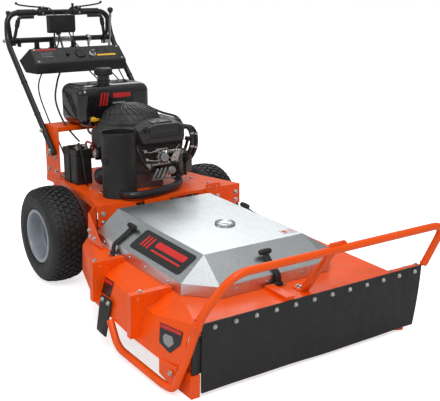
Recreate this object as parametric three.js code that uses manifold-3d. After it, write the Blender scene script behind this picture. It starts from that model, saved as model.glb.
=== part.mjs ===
// Walk-behind brush mower: a rotary cutting deck in front, an engine on a two-wheeled chassis, and
// handlebars behind. Units are millimetres and +Z is up. Two frames are used:
//   level frame: origin on the ground below the deck's front edge, +Y towards the handles, and
//                the machine's right-hand side at -X;
//   deck frame:  the level frame pitched nose-down, so that the skids and tyres share the ground.

import * as THREE from 'three';
import { mergeVertices } from 'three/addons/utils/BufferGeometryUtils.js';
import { ConvexGeometry } from 'three/addons/geometries/ConvexGeometry.js';
import Module from 'manifold-3d';

const wasm = await Module();
wasm.setup();

// ---------------------------------------------------------------- driving dimensions

const GAP = 0.4; // clearance between pieces that touch
const ROUND = 16; // facets of a round part
const TUBE_QUARTER = 3; // steps in a quarter turn of a tube's section

// Wheels
const TYRE_RADIUS = 203;
const TYRE_WIDTH = 160;
const RIM_RADIUS = 101;
const WHEEL_X = 383;
const AXLE_Y = 1263;

// Deck, in the deck frame
const DECK_TOP = 241;
const DECK_SHEET = 4;
const DECK_BOTTOM = 92;
const DECK_SHOULDER = 200;
const DECK_RIGHT = -540;
const DECK_LEFT = 415;
const DECK_REAR = 918;
const FLAP_HALF = 470;
const FLAP_SHEET = 5;
const FLAP_HINGE_Z = 222;
const FLAP_BOTTOM = 15;
const SPINDLE = { x: -58, y: 476 };
const BELT_Z = 297;

// Belt cover, in the deck frame
const COVER = { x: -90, half: 317, front: 129, rear: 905, chamfer: 90, skirt: 41, top: 350 };
const COVER_SLOPE = 107; // how far the top plate lies in from the side skirts
const COVER_REAR_SLOPE = 63;
const COVER_SHEET = 2.5;

// Chassis and tower, in the level frame
const PLATE_TOP = 386;
const PLATE_SHEET = 6;
const PLATE_FRONT = 916;
const PLATE_REAR = 1590;
const TOWER_HALF = 261;
const TOWER_FRONT = 1442;
const TOWER_REAR = 1588;
const TOWER_TOP = 619;

// Engine, in the level frame
const ENGINE = { x: -30, y: 1200 };
const SHROUD_TOP = 652;
const DOME_RADIUS = 127;
const SHIELD = { x: -183, y: 1027, radius: 71, top: 650 };

// Handlebar, in the level frame
const BAR_RADIUS = 13;
const ARM_X = 275;
const ARM_LOW = { y: 1464, z: 500 };
const ARM_ELBOW = { y: 1941, z: 968 };
const TOP_BAR = { y: 1954, z: 1098 };
const CROSSBAR = { y: 1943, z: 969 };

// Front bumper, in the deck frame
const BUMPER_RADIUS = 13;
const BUMPER = { post: 473, elbow: 504, foot: 470, y: -57, z: 407 };

const AXLE_REACH = Math.hypot(AXLE_Y, TYRE_RADIUS);
const PITCH = Math.asin(TYRE_RADIUS / AXLE_REACH) - Math.atan2(138, 1272);

// ---------------------------------------------------------------- materials

function paint(colour, roughness, metalness) {
  return new THREE.MeshStandardMaterial({ color: colour, roughness, metalness });
}
const ORANGE = paint(0xf4480c, 0.35, 0.1);
const BLACK_PAINT = paint(0x1c1c20, 0.4, 0.2);
const SILVER = paint(0xc9cccb, 0.3, 0.9);
const ZINC = paint(0xb5b3a4, 0.4, 0.8);
const STEEL = paint(0x77797c, 0.45, 0.8);
const IRON = paint(0x4a4b4d, 0.6, 0.6);
const ALUMINIUM = paint(0xa8abaa, 0.5, 0.8);
const RUBBER = paint(0x232426, 0.85, 0);
const SHROUD_PLASTIC = paint(0x333436, 0.6, 0);
const TANK_PLASTIC = paint(0x141518, 0.18, 0);
const YELLOW = paint(0xf2c81a, 0.4, 0);
const RIM_PAINT = paint(0xb9c0c6, 0.35, 0.6);

// ---------------------------------------------------------------- solids and joins

function toSolid(geometry) {
  const bare = geometry.clone();
  bare.deleteAttribute('normal');
  bare.deleteAttribute('uv');
  const merged = mergeVertices(bare, 1e-4);
  return new wasm.Manifold(new wasm.Mesh({
    numProp: 3,
    vertProperties: new Float32Array(merged.attributes.position.array),
    triVerts: new Uint32Array(merged.index.array),
  }));
}

function toGeometry(solid) {
  const mesh = solid.getMesh();
  const geometry = new THREE.BufferGeometry();
  geometry.setAttribute('position', new THREE.BufferAttribute(mesh.vertProperties, 3));
  geometry.setIndex(new THREE.BufferAttribute(mesh.triVerts, 1));
  geometry.computeVertexNormals();
  return geometry;
}

function join(...parts) {
  return toGeometry(parts.map(toSolid).reduce((whole, part) => whole.add(part)));
}

function cut(body, ...tools) {
  return toGeometry(tools.map(toSolid).reduce((rest, tool) => rest.subtract(tool), toSolid(body)));
}

function box(x0, x1, y0, y1, z0, z1) {
  const shape = new THREE.BoxGeometry(x1 - x0, y1 - y0, z1 - z0);
  return shape.translate((x0 + x1) / 2, (y0 + y1) / 2, (z0 + z1) / 2);
}

// A box whose two X limits may come in either order.
function boxAcross(xa, xb, y0, y1, z0, z1) {
  return box(Math.min(xa, xb), Math.max(xa, xb), y0, y1, z0, z1);
}

function hull(points) {
  return new ConvexGeometry(points.map(([x, y, z]) => new THREE.Vector3(x, y, z)));
}

function outlineShape(points) {
  return new THREE.Shape(points.map(([a, b]) => new THREE.Vector2(a, b)));
}

// A flat outline of [x, y] points, raised from z0 to z1.
function plateZ(outline, z0, z1) {
  const shape = Array.isArray(outline) ? outlineShape(outline) : outline;
  const solid = new THREE.ExtrudeGeometry(shape, { depth: z1 - z0, bevelEnabled: false, curveSegments: 6 });
  return solid.translate(0, 0, z0);
}

// A flat outline of [y, z] points, spanning x0 to x1.
function plateX(outline, x0, x1) {
  const solid = plateZ(outline, 0, x1 - x0);
  solid.applyMatrix4(new THREE.Matrix4().set(0, 0, 1, 0, 1, 0, 0, 0, 0, 1, 0, 0, 0, 0, 0, 1));
  return solid.translate(x0, 0, 0);
}

// A flat outline of [x, z] points, spanning y0 to y1.
function plateY(outline, y0, y1) {
  const solid = plateZ(outline, 0, y1 - y0);
  return solid.rotateX(Math.PI / 2).translate(0, y1, 0);
}

// A round bar between two points.
function rod(from, to, radius, sides = ROUND) {
  const start = new THREE.Vector3(...from);
  const along = new THREE.Vector3(...to).sub(start);
  const bar = new THREE.CylinderGeometry(radius, radius, along.length(), sides);
  bar.translate(0, along.length() / 2, 0);
  const turn = new THREE.Quaternion().setFromUnitVectors(
    new THREE.Vector3(0, 1, 0), along.clone().normalize());
  return bar.applyQuaternion(turn).translate(start.x, start.y, start.z);
}

// A closed profile of [radius, height] points, turned about the Y axis with its faces outward.
function turned(profile, sides) {
  const points = profile.map(([r, h]) => new THREE.Vector2(r, h));
  if (THREE.ShapeUtils.area(points) < 0) points.reverse();
  return new THREE.LatheGeometry(points, sides);
}

// A profile of [radius, height] points turned about the vertical line through x, y.
function turnedZ(profile, x, y, sides = ROUND) {
  return turned(profile, sides).rotateX(Math.PI / 2).translate(x, y, 0);
}

// A profile of [radius, distance] points turned about the line along X through y, z. A positive
// side sends the distances towards +X, and a negative side mirrors them.
function turnedX(profile, y, z, side, sides = ROUND) {
  const solid = turned(profile, sides).rotateZ(-Math.PI / 2);
  if (side < 0) solid.rotateZ(Math.PI);
  return solid.translate(0, y, z);
}

// The centre line of a bent tube: straight runs with a round bend at each inner corner.
class BentLine extends THREE.Curve {
  constructor(corners, bend, stepsPerBend = 4) {
    super();
    const points = corners.map((corner) => new THREE.Vector3(...corner));
    this.stations = [points[0]];
    for (let i = 1; i < points.length - 1; i += 1) {
      const back = points[i - 1].clone().sub(points[i]);
      const ahead = points[i + 1].clone().sub(points[i]);
      const reach = Math.min(bend, back.length() * 0.45, ahead.length() * 0.45);
      const arc = new THREE.QuadraticBezierCurve3(
        points[i].clone().add(back.setLength(reach)), points[i],
        points[i].clone().add(ahead.setLength(reach)));
      this.stations.push(...arc.getPoints(stepsPerBend));
    }
    this.stations.push(points[points.length - 1]);
  }

  get steps() {
    return this.stations.length - 1;
  }

  getPoint(t, target = new THREE.Vector3()) {
    const place = THREE.MathUtils.clamp(t, 0, 1) * this.steps;
    const index = Math.min(Math.floor(place), this.steps - 1);
    return target.lerpVectors(this.stations[index], this.stations[index + 1], place - index);
  }

  getPointAt(u, target) {
    return this.getPoint(u, target);
  }

  getTangentAt(u, target = new THREE.Vector3()) {
    const index = Math.round(u * this.steps);
    const before = this.stations[Math.max(index - 1, 0)];
    const after = this.stations[Math.min(index + 1, this.steps)];
    return target.subVectors(after, before).normalize();
  }
}

function tube(corners, radius, bend) {
  const line = new BentLine(corners, bend);
  const section = new THREE.Shape();
  section.absarc(0, 0, radius, 0, 2 * Math.PI);
  return new THREE.ExtrudeGeometry(section, {
    extrudePath: line, steps: line.steps, curveSegments: 2 * TUBE_QUARTER, bevelEnabled: false,
  });
}

// ---------------------------------------------------------------- assembly

const machine = new THREE.Group();
const level = new THREE.Group();
const deck = new THREE.Group();
deck.rotation.x = PITCH;
machine.add(level, deck);

function place(group, name, geometry, material) {
  const mesh = new THREE.Mesh(geometry, material);
  mesh.name = name;
  group.add(mesh);
}

// ---------------------------------------------------------------- deck shell

// The deck's outer form between two outlines, drawn in by `inset` on every side and the top.
function deckForm(inset) {
  const right = DECK_RIGHT + inset;
  const left = DECK_LEFT - inset;
  const top = DECK_TOP - inset;
  const front = FLAP_SHEET + GAP + inset;
  const rear = DECK_REAR - inset;
  const flatRight = COVER.x - COVER.half + inset;
  const flatLeft = 326 - inset;
  const waist = COVER.front + COVER.chamfer;
  const frontHalf = hull([
    [right + 54, front, top], [flatRight, waist, top], [flatLeft, waist, top], [flatLeft, front, top],
    [right + 37, front, DECK_SHOULDER], [right + 34, waist, DECK_SHOULDER],
    [left - 15, front, DECK_SHOULDER], [left - 15, waist, DECK_SHOULDER],
    [right + 30, front, DECK_BOTTOM], [right, 130, DECK_BOTTOM], [right, waist, DECK_BOTTOM],
    [left, front, DECK_BOTTOM], [left, waist, DECK_BOTTOM],
  ]);
  const rearHalf = hull([
    [flatRight, waist - 1, top], [flatRight, rear - 30, top], [flatLeft, rear - 30, top],
    [flatLeft, waist - 1, top], [right + 34, waist - 1, DECK_SHOULDER], [right + 34, 300, DECK_SHOULDER],
    [right + 55, 620, DECK_SHOULDER], [right + 120, rear - 5, DECK_SHOULDER],
    [left - 75, rear - 5, DECK_SHOULDER], [left - 15, 620, DECK_SHOULDER],
    [left - 15, waist - 1, DECK_SHOULDER], [right, waist - 1, DECK_BOTTOM], [right, 300, DECK_BOTTOM],
    [right + 25, 620, DECK_BOTTOM], [right + 120, rear, DECK_BOTTOM], [left - 65, rear, DECK_BOTTOM],
    [left, 620, DECK_BOTTOM], [left, waist - 1, DECK_BOTTOM],
  ]);
  return join(frontHalf, rearHalf);
}

// An angle-iron rib that runs out over the deck's shoulder and down its side.
function rib(y, inner, outer, foot) {
  const out = Math.sign(outer - inner);
  const top = DECK_TOP + 14;
  const web = plateY([
    [inner, DECK_TOP - 3], [inner, top], [outer, top], [outer, foot],
    [outer - out * 26, foot], [outer - out * 55, DECK_SHOULDER + 4],
  ], y - 2.5, y + 2.5);
  const flange = boxAcross(inner, outer, y - 2.5, y + 22, top - 3, top);
  const leg = boxAcross(outer, outer - out * 3, y - 2.5, y + 22, foot, top);
  const hole = rod([outer - out * 28, y - 9, top - 17], [outer - out * 28, y + 9, top - 17], 6, 12);
  const slotTop = boxAcross(inner + out * 30, outer - out * 62, y - 9, y + 9, DECK_TOP + 3, DECK_TOP + 7);
  const slotSide = boxAcross(outer - out * 14, outer - out * 10, y - 9, y + 9, foot + 35, foot + 85);
  return cut(join(web, flange, leg), hole, slotTop, slotSide);
}

function deckShell() {
  const lip = join(
    box(-FLAP_HALF, FLAP_HALF, FLAP_SHEET + GAP, FLAP_SHEET + GAP + DECK_SHEET, 203, DECK_TOP),
    box(300, FLAP_HALF, FLAP_SHEET + GAP, 24, DECK_TOP - DECK_SHEET, DECK_TOP),
    box(FLAP_HALF - 30, FLAP_HALF, FLAP_SHEET + GAP, 24, 203, DECK_TOP));
  const stiffener = box(-148, -114, FLAP_SHEET + GAP, 118, DECK_TOP - 2, DECK_TOP + 13);
  const rightInner = COVER.x - COVER.half - 2;
  const frontGusset = hull([
    [-540, 66, 32], [-536, 66, 32], [-541, 130, 46], [-537, 130, 46],
    [-541, 130, 96], [-537, 130, 96], [-527, 44, 96], [-523, 44, 96],
  ]);
  const body = cut(
    deckForm(0), deckForm(DECK_SHEET),
    box(-700, 700, -50, 1000, DECK_BOTTOM - 10, DECK_BOTTOM + 0.5),
    box(DECK_RIGHT - 5, 400, -20, 26, DECK_BOTTOM - 5, 203));
  const whole = join(
    body, lip, stiffener, frontGusset,
    rib(272, rightInner, -563, 106), rib(592, rightInner, -536, 110));
  return cut(whole,
    rod([SPINDLE.x, SPINDLE.y, 200], [SPINDLE.x, SPINDLE.y, 260], 62),
    tube(guardLine(), BUMPER_RADIUS + GAP, 40));
}

// Guard loop on the right-hand side: a low rail, bent up and in at the front to meet the bumper.
function guardLine() {
  return [
    [-536, 462, 90], [-541, 400, 17], [-541, 105, 17], [-537, 48, 24], [-507, 20, 135], [-491, -3, 240],
  ];
}

// A skid block with an upright that runs up inside the deck.
function skidFoot(outline, uprightX, uprightY) {
  const upright = box(uprightX - 8, uprightX + 8, uprightY - 22, uprightY + 22, 70, 128);
  return join(plateZ(outline, 0, 77), upright);
}

function bumper() {
  const { post } = BUMPER;
  const loop = tube([
    [-488, -5, 251], [-post + 4, -24, 305], [-400, BUMPER.y, BUMPER.z],
    [BUMPER.elbow, BUMPER.y, BUMPER.z], [BUMPER.foot, -9, 250],
  ], BUMPER_RADIUS, 62);
  const tab = plateX([[-57, 407], [-49, 407], [-49, 431], [-57, 431]], -32, 40);
  const eye = rod([24, -70, 424], [24, -40, 424], 4, 12);
  const endPlate = box(BUMPER.foot - 6, BUMPER.foot + 6, -9, 4, DECK_TOP + 1.6, DECK_TOP + 17);
  return cut(join(loop, tab, endPlate), eye);
}

function bumperStrut() {
  const strap = hull([
    [-22, -44, 397], [12, -44, 397], [-22, -38, 394], [12, -38, 394],
    [-60, 42, DECK_TOP + 4.5], [-26, 42, DECK_TOP + 4.5],
    [-60, 37, DECK_TOP + 0.6], [-26, 37, DECK_TOP + 0.6],
  ]);
  const foot = box(-60, -26, 36, 82, DECK_TOP + 0.5, DECK_TOP + 4.5);
  const wing = hull([
    [8, -44, 397], [12, -44, 397], [8, -16, 397], [12, -16, 397],
    [-30, 42, DECK_TOP + 4], [-26, 42, DECK_TOP + 4], [-30, 72, DECK_TOP + 4], [-26, 72, DECK_TOP + 4],
    [8, -42, 390], [12, -42, 390], [-30, 40, DECK_TOP + 1], [-26, 40, DECK_TOP + 1],
  ]);
  const clearBar = tube([[-400, BUMPER.y, BUMPER.z], [400, BUMPER.y, BUMPER.z]], BUMPER_RADIUS + GAP, 1);
  return cut(join(strap, foot, wing), clearBar);
}

function boltStrip() {
  const heads = [];
  const pitch = 78.2;
  for (let i = 0; i < 12; i += 1) {
    const x = -424 + i * pitch;
    heads.push(rod([x, -4.5, 231], [x, 1, 231], 7, 6));
  }
  const strip = box(-FLAP_HALF + 1, FLAP_HALF - 1, 0, FLAP_SHEET, FLAP_HINGE_Z + 0.6, DECK_TOP + 1);
  return join(strip, ...heads);
}

// The rubber curtain hangs from the strip and waves a little along its lower edge.
function flapCurtain() {
  const top = FLAP_HINGE_Z - 2.4;
  const outline = [[-FLAP_HALF, top], [-FLAP_HALF, FLAP_BOTTOM + 3]];
  const waves = 8;
  for (let i = 1; i < waves; i += 1) {
    const x = -FLAP_HALF + (2 * FLAP_HALF * i) / waves;
    outline.push([x, FLAP_BOTTOM + 3 * Math.cos(i * 1.7)]);
  }
  outline.push([FLAP_HALF - 24, FLAP_BOTTOM + 4], [FLAP_HALF, top]);
  return plateY(outline, 0.2, FLAP_SHEET - 0.2);
}

// A short rubber flap on the deck's right-hand side, behind the guard.
function sideFlap() {
  const points = [];
  for (const y of [478, 556]) {
    points.push([-524, y, 150], [-519, y, 150], [-546, y, 24], [-541, y, 24]);
  }
  return hull(points);
}

// ---------------------------------------------------------------- belt cover

function coverForm(inset, floor) {
  const half = COVER.half - inset;
  const front = COVER.front + inset;
  const rear = COVER.rear - inset;
  const near = COVER.chamfer;
  const ring = [
    [-half, front + near], [-half + near, front], [half - near, front], [half, front + near],
    [half, rear - near], [half - near, rear], [-half + near, rear], [-half, rear - near],
  ];
  const skirtTop = DECK_TOP + COVER.skirt - inset * 0.4;
  const inner = COVER.half - COVER_SLOPE - inset * 0.3;
  const points = [];
  for (const [x, y] of ring) {
    points.push([COVER.x + x, y, floor], [COVER.x + x, y, skirtTop]);
  }
  for (const x of [-inner, inner]) {
    for (const y of [COVER.front + 121 + inset * 0.3, COVER.rear - COVER_REAR_SLOPE - inset * 0.3]) {
      points.push([COVER.x + x, y, COVER.top - inset]);
    }
  }
  return hull(points);
}

function beltCover() {
  const shell = cut(coverForm(0, DECK_TOP + GAP), coverForm(COVER_SHEET, DECK_TOP - 20));
  const beltGap = box(SPINDLE.x - 95, SPINDLE.x + 145, 840, 980, DECK_TOP - 10, 325);
  const sight = rod([SPINDLE.x, SPINDLE.y, 330], [SPINDLE.x, SPINDLE.y, 360], 24);
  return cut(shell, beltGap, sight);
}

function coverCap() {
  const z = COVER.top;
  return turnedZ([
    [0, z - 8], [22, z - 8], [22, z + GAP], [38, z + GAP], [38, z + 6], [31, z + 9], [27, z + 5], [0, z + 5],
  ], SPINDLE.x, SPINDLE.y, 28);
}

// A rubber strap latch: hooked low on the skirt, drawn up over the slope to a T-handle.
// It is drawn in its own plane: `out` away from the cover, `up` above the deck.
function latch() {
  const strap = plateY([
    [4, 4], [16, 4], [14, 42], [-4, 57], [-60, 92], [-66, 84], [-8, 46], [4, 38],
  ], -13, 13);
  const handle = hull([
    [-76, -26, 98], [-76, 26, 98], [-58, -26, 86], [-58, 26, 86], [-68, -26, 108], [-68, 26, 108],
    [-50, -23, 95], [-50, 23, 95],
  ]);
  const barrel = rod([11, -18, 8], [11, 18, 8], 7, 12);
  return join(strap, handle, barrel);
}

function latchAt(x, y, turn) {
  return latch().rotateZ(turn).translate(x, y, DECK_TOP + 1);
}

// ---------------------------------------------------------------- cutting drive

function spindleHousing() {
  const { x, y } = SPINDLE;
  return turnedZ([
    [16, 150], [42, 150], [46, 236], [58, DECK_TOP + GAP], [88, DECK_TOP + GAP], [88, 250],
    [46, 252], [40, 282], [16, 282], [16, 150],
  ], x, y, 24);
}

function spindleShaft() {
  const shaft = turnedZ([
    [0, 92], [17, 92], [17, 103], [15, 103], [15, 126], [34, 126], [34, 148], [15.5, 148],
    [15.5, 322], [0, 322],
  ], SPINDLE.x, SPINDLE.y, 24);
  return join(shaft, pulley(SPINDLE_PULLEY, 15, BELT_Z, SPINDLE.x, SPINDLE.y));
}

function blade() {
  const { x, y } = SPINDLE;
  const bar = plateZ([[-150, -32], [150, -32], [150, 32], [-150, 32]], 0, 9);
  const tip = [[120, -27], [405, -27], [425, -10], [425, 27], [120, 27]];
  const tips = [1, -1].map((side) => plateZ(tip.map(([a, b]) => [side * a, side * b]), 8.5, 16));
  const whole = cut(join(bar, ...tips), rod([0, 0, -5], [0, 0, 20], 15.3));
  return whole.translate(x, y, 108);
}

// A grooved pulley of pitch radius `radius`, bored for a shaft.
function pulley(radius, bore, z, x, y) {
  const lip = radius + 9;
  const root = radius - 8;
  return turnedZ([
    [bore, z - 13], [lip, z - 13], [lip, z - 11], [root, z - 10], [root, z + 10], [lip, z + 11],
    [lip, z + 13], [bore, z + 13], [bore, z - 13],
  ], x, y, 24);
}

const SPINDLE_PULLEY = 84;
const ENGINE_PULLEY = 56;
const ENGINE_IN_DECK_Y = ENGINE.y * Math.cos(PITCH) + 357 * Math.sin(PITCH);

// A belt round both pulleys, drawn as the band between two outlines that wrap both circles.
function beltOutline(offset) {
  const span = new THREE.Vector2(ENGINE.x - SPINDLE.x, ENGINE_IN_DECK_Y - SPINDLE.y);
  const heading = span.angle();
  const lean = Math.asin((SPINDLE_PULLEY - ENGINE_PULLEY) / span.length());
  const points = [];
  const arc = (centreX, centreY, radius, from, to) => {
    const steps = 14;
    for (let i = 0; i <= steps; i += 1) {
      const a = from + ((to - from) * i) / steps;
      points.push([centreX + radius * Math.cos(a), centreY + radius * Math.sin(a)]);
    }
  };
  const quarter = Math.PI / 2;
  arc(SPINDLE.x, SPINDLE.y, SPINDLE_PULLEY + offset, heading + quarter - lean, heading + 3 * quarter + lean);
  arc(ENGINE.x, ENGINE_IN_DECK_Y, ENGINE_PULLEY + offset, heading - quarter + lean, heading + quarter - lean);
  return points;
}

function driveBelt() {
  const band = outlineShape(beltOutline(3));
  band.holes.push(new THREE.Path(beltOutline(-6).map(([a, b]) => new THREE.Vector2(a, b)).reverse()));
  return plateZ(band, BELT_Z - 6, BELT_Z + 6);
}

const IDLER = { x: 82, y: 800, radius: 28, pivotX: 150, pivotY: 690 };

function idlerArm() {
  const { x, y, pivotX, pivotY } = IDLER;
  const z = BELT_Z - 26;
  const plate = hull([
    [pivotX - 16, pivotY - 12, z], [pivotX + 16, pivotY - 6, z], [pivotX + 14, pivotY + 14, z],
    [x - 14, y, z], [x, y + 16, z], [x + 14, y + 8, z],
    [pivotX - 16, pivotY - 12, z + 6], [pivotX + 16, pivotY - 6, z + 6], [pivotX + 14, pivotY + 14, z + 6],
    [x - 14, y, z + 6], [x, y + 16, z + 6], [x + 14, y + 8, z + 6],
  ]);
  const pin = rod([x, y, z], [x, y, BELT_Z + 12], 7.5, 16);
  const post = rod([pivotX, pivotY, DECK_TOP + GAP], [pivotX, pivotY, z + 12], 11, 16);
  return join(plate, pin, post);
}

function idlerPulley() {
  const { radius, x, y } = IDLER;
  return turnedZ([
    [8, BELT_Z - 10], [radius, BELT_Z - 10], [radius, BELT_Z + 10], [8, BELT_Z + 10], [8, BELT_Z - 10],
  ], x, y, 24);
}

// ---------------------------------------------------------------- chassis

// A bent plate that hangs the deck from the chassis: along the cover's side, then in behind it.
function hangerPlate(side) {
  const at = (offset) => COVER.x + side * (COVER.half + offset);
  const base = DECK_TOP + GAP;
  const top = side < 0 ? 348 : 296; // the left plate is lower
  const along = hull([
    [at(12), 737, base], [at(16), 737, base], [at(12), 852, base], [at(16), 852, base],
    [at(12), 843, top], [at(16), 843, top], [at(12), 852, top], [at(16), 852, top],
  ]);
  const turnIn = hull([
    [at(16), 850, base], [at(11), 852, base], [at(-56), 928, base], [at(-52), 931, base],
    [at(16), 850, top], [at(11), 852, top], [at(-56), 928, top], [at(-52), 931, top],
  ]);
  const chassisRoom = box(-400, 400, PLATE_FRONT - GAP, PLATE_FRONT + 60, 200, 420);
  chassisRoom.applyMatrix4(new THREE.Matrix4().makeRotationX(-PITCH));
  return cut(join(along, turnIn), chassisRoom);
}

// A rail under the chassis plate, with a bored drop bracket that carries the axle housing.
function frameRail(side) {
  const inner = side * 205;
  const outer = side * 245;
  const x0 = Math.min(inner, outer);
  const x1 = Math.max(inner, outer);
  const rail = box(x0, x1, PLATE_FRONT + 4, 1560, 322, PLATE_TOP - 1);
  const drop = box(x0, x1, AXLE_Y - 60, AXLE_Y + 60, 165, 330);
  const bore = rod([x0 - 10, AXLE_Y, TYRE_RADIUS], [x1 + 10, AXLE_Y, TYRE_RADIUS], 27);
  return cut(join(rail, drop), bore);
}

function chassisFrame() {
  const half = [
    [340, PLATE_FRONT], [296, 1135], [284, 1290],
    [TOWER_HALF + 2, TOWER_FRONT - 2], [TOWER_HALF + 2, PLATE_REAR],
  ];
  const outline = [...half, ...half.map(([x, y]) => [-x, y]).reverse()];
  const plate = plateZ(outline, PLATE_TOP - PLATE_SHEET, PLATE_TOP);
  const front = cut(box(-340, 340, PLATE_FRONT, PLATE_FRONT + 5, 300, PLATE_TOP - 1),
    box(-170, 130, PLATE_FRONT - 20, PLATE_FRONT + 20, 290, 374));
  const skirts = [];
  for (const side of [-1, 1]) {
    for (let i = 0; i < half.length - 1; i += 1) {
      const [xa, ya] = half[i];
      const [xb, yb] = half[i + 1];
      const low = PLATE_TOP - 27;
      skirts.push(hull([
        [side * xa, ya, low], [side * (xa - 5), ya, low], [side * xb, yb, low], [side * (xb - 5), yb, low],
        [side * xa, ya, PLATE_TOP - 1], [side * (xa - 5), ya, PLATE_TOP - 1],
        [side * xb, yb, PLATE_TOP - 1], [side * (xb - 5), yb, PLATE_TOP - 1],
      ]));
    }
  }
  const crankHole = rod([ENGINE.x, ENGINE.y, 360], [ENGINE.x, ENGINE.y, 400], 32);
  return cut(join(plate, front, frameRail(-1), frameRail(1), ...skirts), crankHole);
}

function rearTower() {
  const sheet = 4;
  const legs = [-1, 1].map((side) => {
    const x = side * TOWER_HALF;
    const base = PLATE_TOP + GAP;
    const outer = boxAcross(x, x - side * sheet, TOWER_FRONT, TOWER_REAR, base, TOWER_TOP);
    const rearFlange = boxAcross(x, x - side * 38, TOWER_REAR - sheet, TOWER_REAR, base, TOWER_TOP);
    const foot = boxAcross(x, x - side * 42, TOWER_FRONT, TOWER_REAR, base, base + sheet);
    return join(outer, rearFlange, foot);
  });
  const top = box(-TOWER_HALF, TOWER_HALF, TOWER_FRONT, TOWER_REAR, TOWER_TOP - sheet, TOWER_TOP);
  const frontLip = box(-TOWER_HALF, TOWER_HALF, TOWER_FRONT, TOWER_FRONT + sheet, TOWER_TOP - 20, TOWER_TOP);
  const shelf = box(-120, 110, 1368, TOWER_FRONT + 2, TOWER_TOP - sheet, TOWER_TOP);
  return join(...legs, top, frontLip, shelf);
}

function transaxle() {
  const z = TYRE_RADIUS;
  const gearCase = hull([
    [-95, AXLE_Y - 75, z - 60], [95, AXLE_Y - 75, z - 60],
    [-95, AXLE_Y + 85, z - 60], [95, AXLE_Y + 85, z - 60],
    [-75, AXLE_Y - 60, z + 70], [75, AXLE_Y - 60, z + 70],
    [-75, AXLE_Y + 70, z + 70], [75, AXLE_Y + 70, z + 70],
  ]);
  const housing = rod([-252, AXLE_Y, z], [252, AXLE_Y, z], 26);
  const neck = rod([0, AXLE_Y + 45, z + 60], [0, AXLE_Y + 45, z + 96], 24);
  return cut(join(gearCase, housing, neck), rod([-260, AXLE_Y, z], [260, AXLE_Y, z], 16));
}

// ---------------------------------------------------------------- wheels

function tyre(side) {
  const half = TYRE_WIDTH / 2;
  const r = TYRE_RADIUS;
  const bead = RIM_RADIUS + 1;
  return turnedX([
    [bead, WHEEL_X - half + 14], [115, WHEEL_X - half + 14], [119, WHEEL_X - half + 5],
    [150, WHEEL_X - half],
    [182, WHEEL_X - half + 5], [r - 4, WHEEL_X - half + 16], [r, WHEEL_X - half + 34],
    [r, WHEEL_X + half - 34], [r - 4, WHEEL_X + half - 16], [182, WHEEL_X + half - 5],
    [150, WHEEL_X + half], [119, WHEEL_X + half - 5], [115, WHEEL_X + half - 14],
    [bead, WHEEL_X + half - 14],
    [bead, WHEEL_X - half + 14],
  ], AXLE_Y, r, side, 32);
}

// A dished rim with its hub and axle shaft.
function wheelRim(side) {
  const outside = WHEEL_X + TYRE_WIDTH / 2;
  const inside = WHEEL_X - TYRE_WIDTH / 2;
  const dish = turnedX([
    [14, 330], [40, 330], [44, 338], [62, 338], [72, 352], [90, 352], [97, inside + 22], [97, inside + 12],
    [RIM_RADIUS, inside + 12], [RIM_RADIUS, outside - 12], [113.5, outside - 12], [113.5, outside - 7],
    [97, outside - 7], [96, 400], [88, 388], [86, 358], [70, 358], [60, 344], [14, 344], [14, 330],
  ], AXLE_Y, TYRE_RADIUS, side, 24);
  const shaft = turnedX([
    [0, 110], [15.6, 110], [15.6, 262], [30, 262], [30, 322], [62, 322], [62, 339], [17, 339],
    [17, 352], [0, 352],
  ], AXLE_Y, TYRE_RADIUS, side, 16);
  return join(dish, shaft);
}

// ---------------------------------------------------------------- engine

function crankcase() {
  const { x, y } = ENGINE;
  const base = PLATE_TOP + GAP;
  const pan = plateZ([
    [x - 105, y - 100], [x + 75, y - 128], [x + 120, y - 60], [x + 120, y + 80], [x + 60, y + 125],
    [x - 80, y + 120], [x - 110, y + 40],
  ], base, base + 60);
  const block = plateZ([
    [x - 85, y - 75], [x + 60, y - 95], [x + 88, y - 50], [x + 88, y + 60], [x + 40, y + 100],
    [x - 65, y + 95], [x - 90, y + 20],
  ], base + 58, 548);
  const filterBoss = rod([x - 112, y - 20, 440], [x - 60, y - 20, 440], 26);
  const crankBore = rod([x, y, 300], [x, y, 600], 13.5);
  return cut(join(pan, block, filterBoss), crankBore, ...CYLINDER_ANGLES.map(cylinderRoom));
}

// Each cylinder points away from the crankshaft at an angle from +X.
const CYLINDER_ANGLES = [-0.5, 1.07];
const CYLINDER_Z = 474;
const FRONT_STRETCH = 30; // the front cylinder is this much longer

function fromCrank(geometry, angle) {
  return geometry.rotateZ(angle).translate(ENGINE.x, ENGINE.y, CYLINDER_Z);
}

function cylinderRoom(angle) {
  return fromCrank(box(95.6, 320, -56, 56, -56, 56), angle);
}

function cylinder(angle, stretch) {
  const fins = [];
  for (let i = 0; i < 6; i += 1) {
    const start = 98 + i * (13 + stretch / 6);
    fins.push(box(start, start + 5, -52, 52, -52, 52));
  }
  const barrel = rod([96, 0, 0], [178 + stretch, 0, 0], 38);
  const head = box(170 + stretch, 205 + stretch, -54, 54, -54, 54);
  const rocker = hull([
    [204 + stretch, -46, -46], [204 + stretch, 46, -46], [204 + stretch, -46, 46], [204 + stretch, 46, 46],
    [232 + stretch, -38, -38], [232 + stretch, 38, -38], [232 + stretch, -38, 38], [232 + stretch, 38, 38],
  ]);
  return fromCrank(join(barrel, ...fins, head, rocker), angle);
}

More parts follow.
